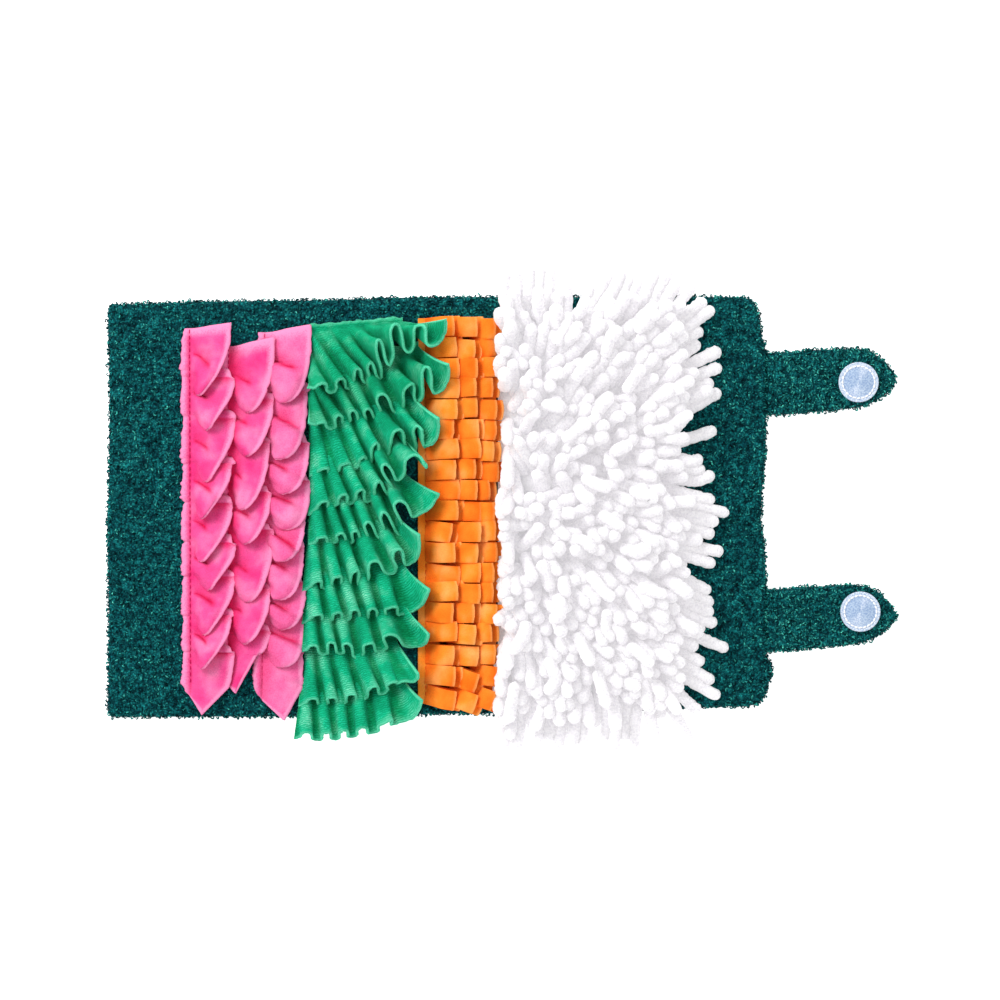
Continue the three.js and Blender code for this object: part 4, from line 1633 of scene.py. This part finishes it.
@dataclass
class Studio:
    """A pale floor, soft light all round and a camera straight above."""

    view_width: float = 500.0    # width of what the camera sees at the mat's height
    distance: float = 2600.0
    aside: tuple[float, float] = (-1.3, 2.6)     # from the middle of the toy to the middle of the view
    sensor: float = 36.0
    room_light: float = 0.86
    floor_width: float = 6000.0
    floor_drop: float = 0.2      # how far the floor lies below the toy

    def build(self) -> None:
        """Builds the floor, the lights and the camera."""
        middle = sum(CAD_BOX, Vector()) / 2
        self.floor(middle)
        self.lights(middle)
        self.camera(middle)

    def floor(self, middle: Vector) -> None:
        """Lays the floor just under the toy.

        Args:
            middle: The middle of the toy.
        """
        shape = bmesh.new()
        bmesh.ops.create_grid(shape, x_segments=2, y_segments=2, size=self.floor_width * MM)
        bmesh.ops.translate(shape, verts=shape.verts, vec=(middle.x, middle.y, -self.floor_drop * MM))
        mesh = mesh_from("floor", shape)
        mesh.materials.append(FLOOR.material())
        placed("floor", mesh)

    def lights(self, middle: Vector) -> None:
        """Hangs a large soft light above and to the left, and lights the room evenly.

        Args:
            middle: The middle of the toy.
        """
        world = bpy.data.worlds.new("room")
        world.use_nodes = True
        room = world.node_tree.nodes["Background"].inputs
        room["Color"].default_value = (1.0, 1.0, 1.0, 1.0)
        room["Strength"].default_value = self.room_light
        bpy.context.scene.world = world
        for name, place, size, power in (
            ("key", (-0.85, 0.75, 1.1), 0.75, 17.0),
            ("fill", (0.9, -0.5, 1.3), 1.2, 1.5),
        ):
            lamp = bpy.data.lights.new(name, "AREA")
            lamp.energy = power
            lamp.size = size
            made = placed(name, lamp)
            made.location = middle + Vector(place)
            made.rotation_euler = (middle - made.location).to_track_quat("-Z", "Y").to_euler()

    def camera(self, middle: Vector) -> None:
        """Places the camera straight above, looking down.

        Args:
            middle: The middle of the toy.
        """
        lens = bpy.data.cameras.new("camera")
        lens.sensor_width = self.sensor
        lens.lens = self.sensor * self.distance / self.view_width
        made = placed("camera", lens)
        made.location = (middle.x + self.aside[0] * MM, middle.y + self.aside[1] * MM, self.distance * MM)
        bpy.context.scene.camera = made
        bpy.context.scene.view_settings.view_transform = "Standard"


# ---- The toy -------------------------------------------------------------------

CLOTHS = {finish.name: finish.cloth() for finish in (PINK, GREEN, ORANGE)}
CLOTHS.update({finish.name: [finish.material()] for finish in (CURLY, WHITE, PINK_THREAD, ORANGE_THREAD,
                                                               WHITE_THREAD)})

PINK_FRILLS = (
    PinkFrill("pink_frill_1", (-123, 89), (-122.5, -88), (24, 20, 24, 19, 20, 17, 20, 18, 16), (22, 22),
              LONG_PLEAT, 1, crease_length=9.0, puff=2.6, corner=(-103.5, -90), tip=(-117, -103.5), hang=7),
    PinkFrill("pink_frill_2", (-103.5, 80), (-103.8, -80), (27, 22, 25, 18, 30, 20, 18), (22, 21),
              BROAD_PLEAT, 2, crease_length=8.0, puff=2.4, corner=(-89, -73), tip=(-100.3, -93), hang=9,
              shade=1.0),
    PinkFrill("pink_frill_3", (-85.5, 87), (-87, -88), (29, 26, 19, 17, 16, 18, 17, 18, 15), (23.5, 20),
              PUFFED_PLEAT, 3, crease_length=13.0, puff=3.4, corner=(-66, -89), tip=(-76, -106.5), hang=8.5,
              shade=0.45, painted_light=0.15),
)
GREEN_RUFFLES = (
    GreenRuffle("green_frill_1", (-64, 88), (-17, 92), 33, 1, (
        (-63.5, 59), (-56, 61), (-52, 56.5), (-47.5, 63), (-43, 58.5), (-39, 68), (-34.5, 61.5), (-33, 71),
        (-27.5, 63.5), (-29, 82), (-22.5, 70.5), (-20.5, 90.5), (-13, 76.5), (-8, 90), (-2, 79.5), (5, 93)),
        drop=20),
    GreenRuffle("green_frill_2", (-64, 68), (-9, 80), 31, 2, (
        (-63.5, 41.5), (-57, 41.5), (-52, 38.5), (-48.5, 45), (-44.5, 40.5), (-41.5, 47.5), (-36.5, 41.5),
        (-34.5, 48), (-28.5, 43.5), (-28, 55.5), (-18.5, 46.5), (-13, 60.5), (-8.5, 52), (-5, 69), (0, 56),
        (6, 70.5)), drop=10),
    GreenRuffle("green_frill_3", (-64, 50), (-14, 58), 33, 3, (
        (-63, 15), (-56, 18.5), (-51, 16.5), (-45, 21), (-40.5, 18.5), (-36.5, 24), (-33, 20.5), (-30.5, 31),
        (-27, 21.5), (-19, 38), (-11.5, 27), (-9.5, 39.5), (-5, 29.5), (1, 44))),
    GreenRuffle("green_frill_4", (-64, 31), (-19, 37), 34, 4, (
        (-64, -4.5), (-56, 2), (-51.5, -0.5), (-46, 5.5), (-42.5, 1), (-37.5, 8), (-33.5, 2), (-29, 12),
        (-21, 5), (-26.5, 20.5), (-18, 13.5), (-11.5, 25.5), (-5, 21))),
    GreenRuffle("green_frill_5", (-63.5, 11), (-17, 18), 31, 5, (
        (-63.5, -19), (-57, -15.5), (-51.5, -18.5), (-47.5, -13.5), (-43, -19), (-40.5, -12.5),
        (-35.5, -17.5), (-34.5, -8), (-26.5, -16.5), (-26.5, -3), (-16.5, -15), (-19.5, 2.5), (-9.5, -4.5),
        (1.5, 6.5))),
    GreenRuffle("green_frill_6", (-64, -8), (-21, -2), 33, 6, (
        (-67, -42), (-59, -37.5), (-55, -41), (-49, -35), (-45, -40), (-40, -32), (-37, -39.5),
        (-31.5, -27.5), (-21.5, -33.5), (-19.5, -21.5), (-14, -29), (-8.5, -13.5))),
    GreenRuffle("green_frill_7", (-65, -28), (-19, -24), 30, 7, (
        (-67, -58.5), (-59, -54), (-54, -57.5), (-49, -53), (-45, -57), (-40.5, -51.5), (-36, -56.5),
        (-31.5, -51), (-27, -56), (-23, -50.5), (-17, -54), (-3.5, -40.5))),
    GreenRuffle("green_frill_8", (-65.5, -48), (-18, -46), 27, 8, (
        (-67, -72), (-61.5, -69), (-56, -74), (-52, -67.5), (-48, -73.5), (-44.5, -68), (-39, -76),
        (-33.5, -68), (-27, -72.5), (-24, -63.5), (-12, -70), (-3.5, -63))),
    GreenRuffle("green_frill_9", (-66, -68), (-20, -66), 31, 9, (
        (-69, -99.5), (-61.5, -95.5), (-56, -99), (-52, -95), (-47, -98.5), (-42.5, -93.5),
        (-37.5, -97), (-31, -89.5), (-26, -93), (-22.5, -87.5), (-17.5, -87), (-9, -82.5))),
    GreenRuffle("green_frill_10", (-67, -87), (-18, -82), 29, 10, (
        (-71, -115.5), (-64.5, -112.5), (-59.5, -116.5), (-54.5, -112.5), (-50.5, -116), (-46, -111.5),
        (-42, -115), (-37, -110), (-31.5, -113), (-25.5, -107.5), (-20, -108), (-7, -95.5))),
)
LOOP_STRIPS = (
    LoopStrip("orange_loops_1", -4.8, 18.8, 25, 1),
    LoopStrip("orange_loops_2", 5.8, 18.8, 25, 2),
    LoopStrip("orange_loops_3", 16.8, 15, 20, 3),
)


def build_mat() -> None:
    """Builds the curly mat, its straps and their discs."""
    mat = CurlyCloth("base_mat", (333, 211), 1, bare=(-121, -86, 112, 86))
    mat.build(("mat_curls_left", -400, -125), ("mat_curls_middle", -125, 90), ("mat_curls_right", 90, 400))
    for number, side in enumerate(("upper", "lower")):
        strap = CurlyCloth(f"strap_{side}", (65.5, 34.7), 20 + number, voxel=1.6, tuck=2.2, lighter=0.22)
        strap.build((f"strap_{side}_curls", -400, 400))
        FastenerDisc(f"disc_{side}").build()


def main() -> None:
    """Builds the whole toy, the floor, the lights and the camera."""
    logging.basicConfig(level=logging.INFO, format="%(name)s: %(message)s")
    Studio().build()
    build_mat()
    for strip in (*PINK_FRILLS, *GREEN_RUFFLES, *LOOP_STRIPS):
        strip.build()
    NoodleField().build()


if __name__ == "__main__":
    main()
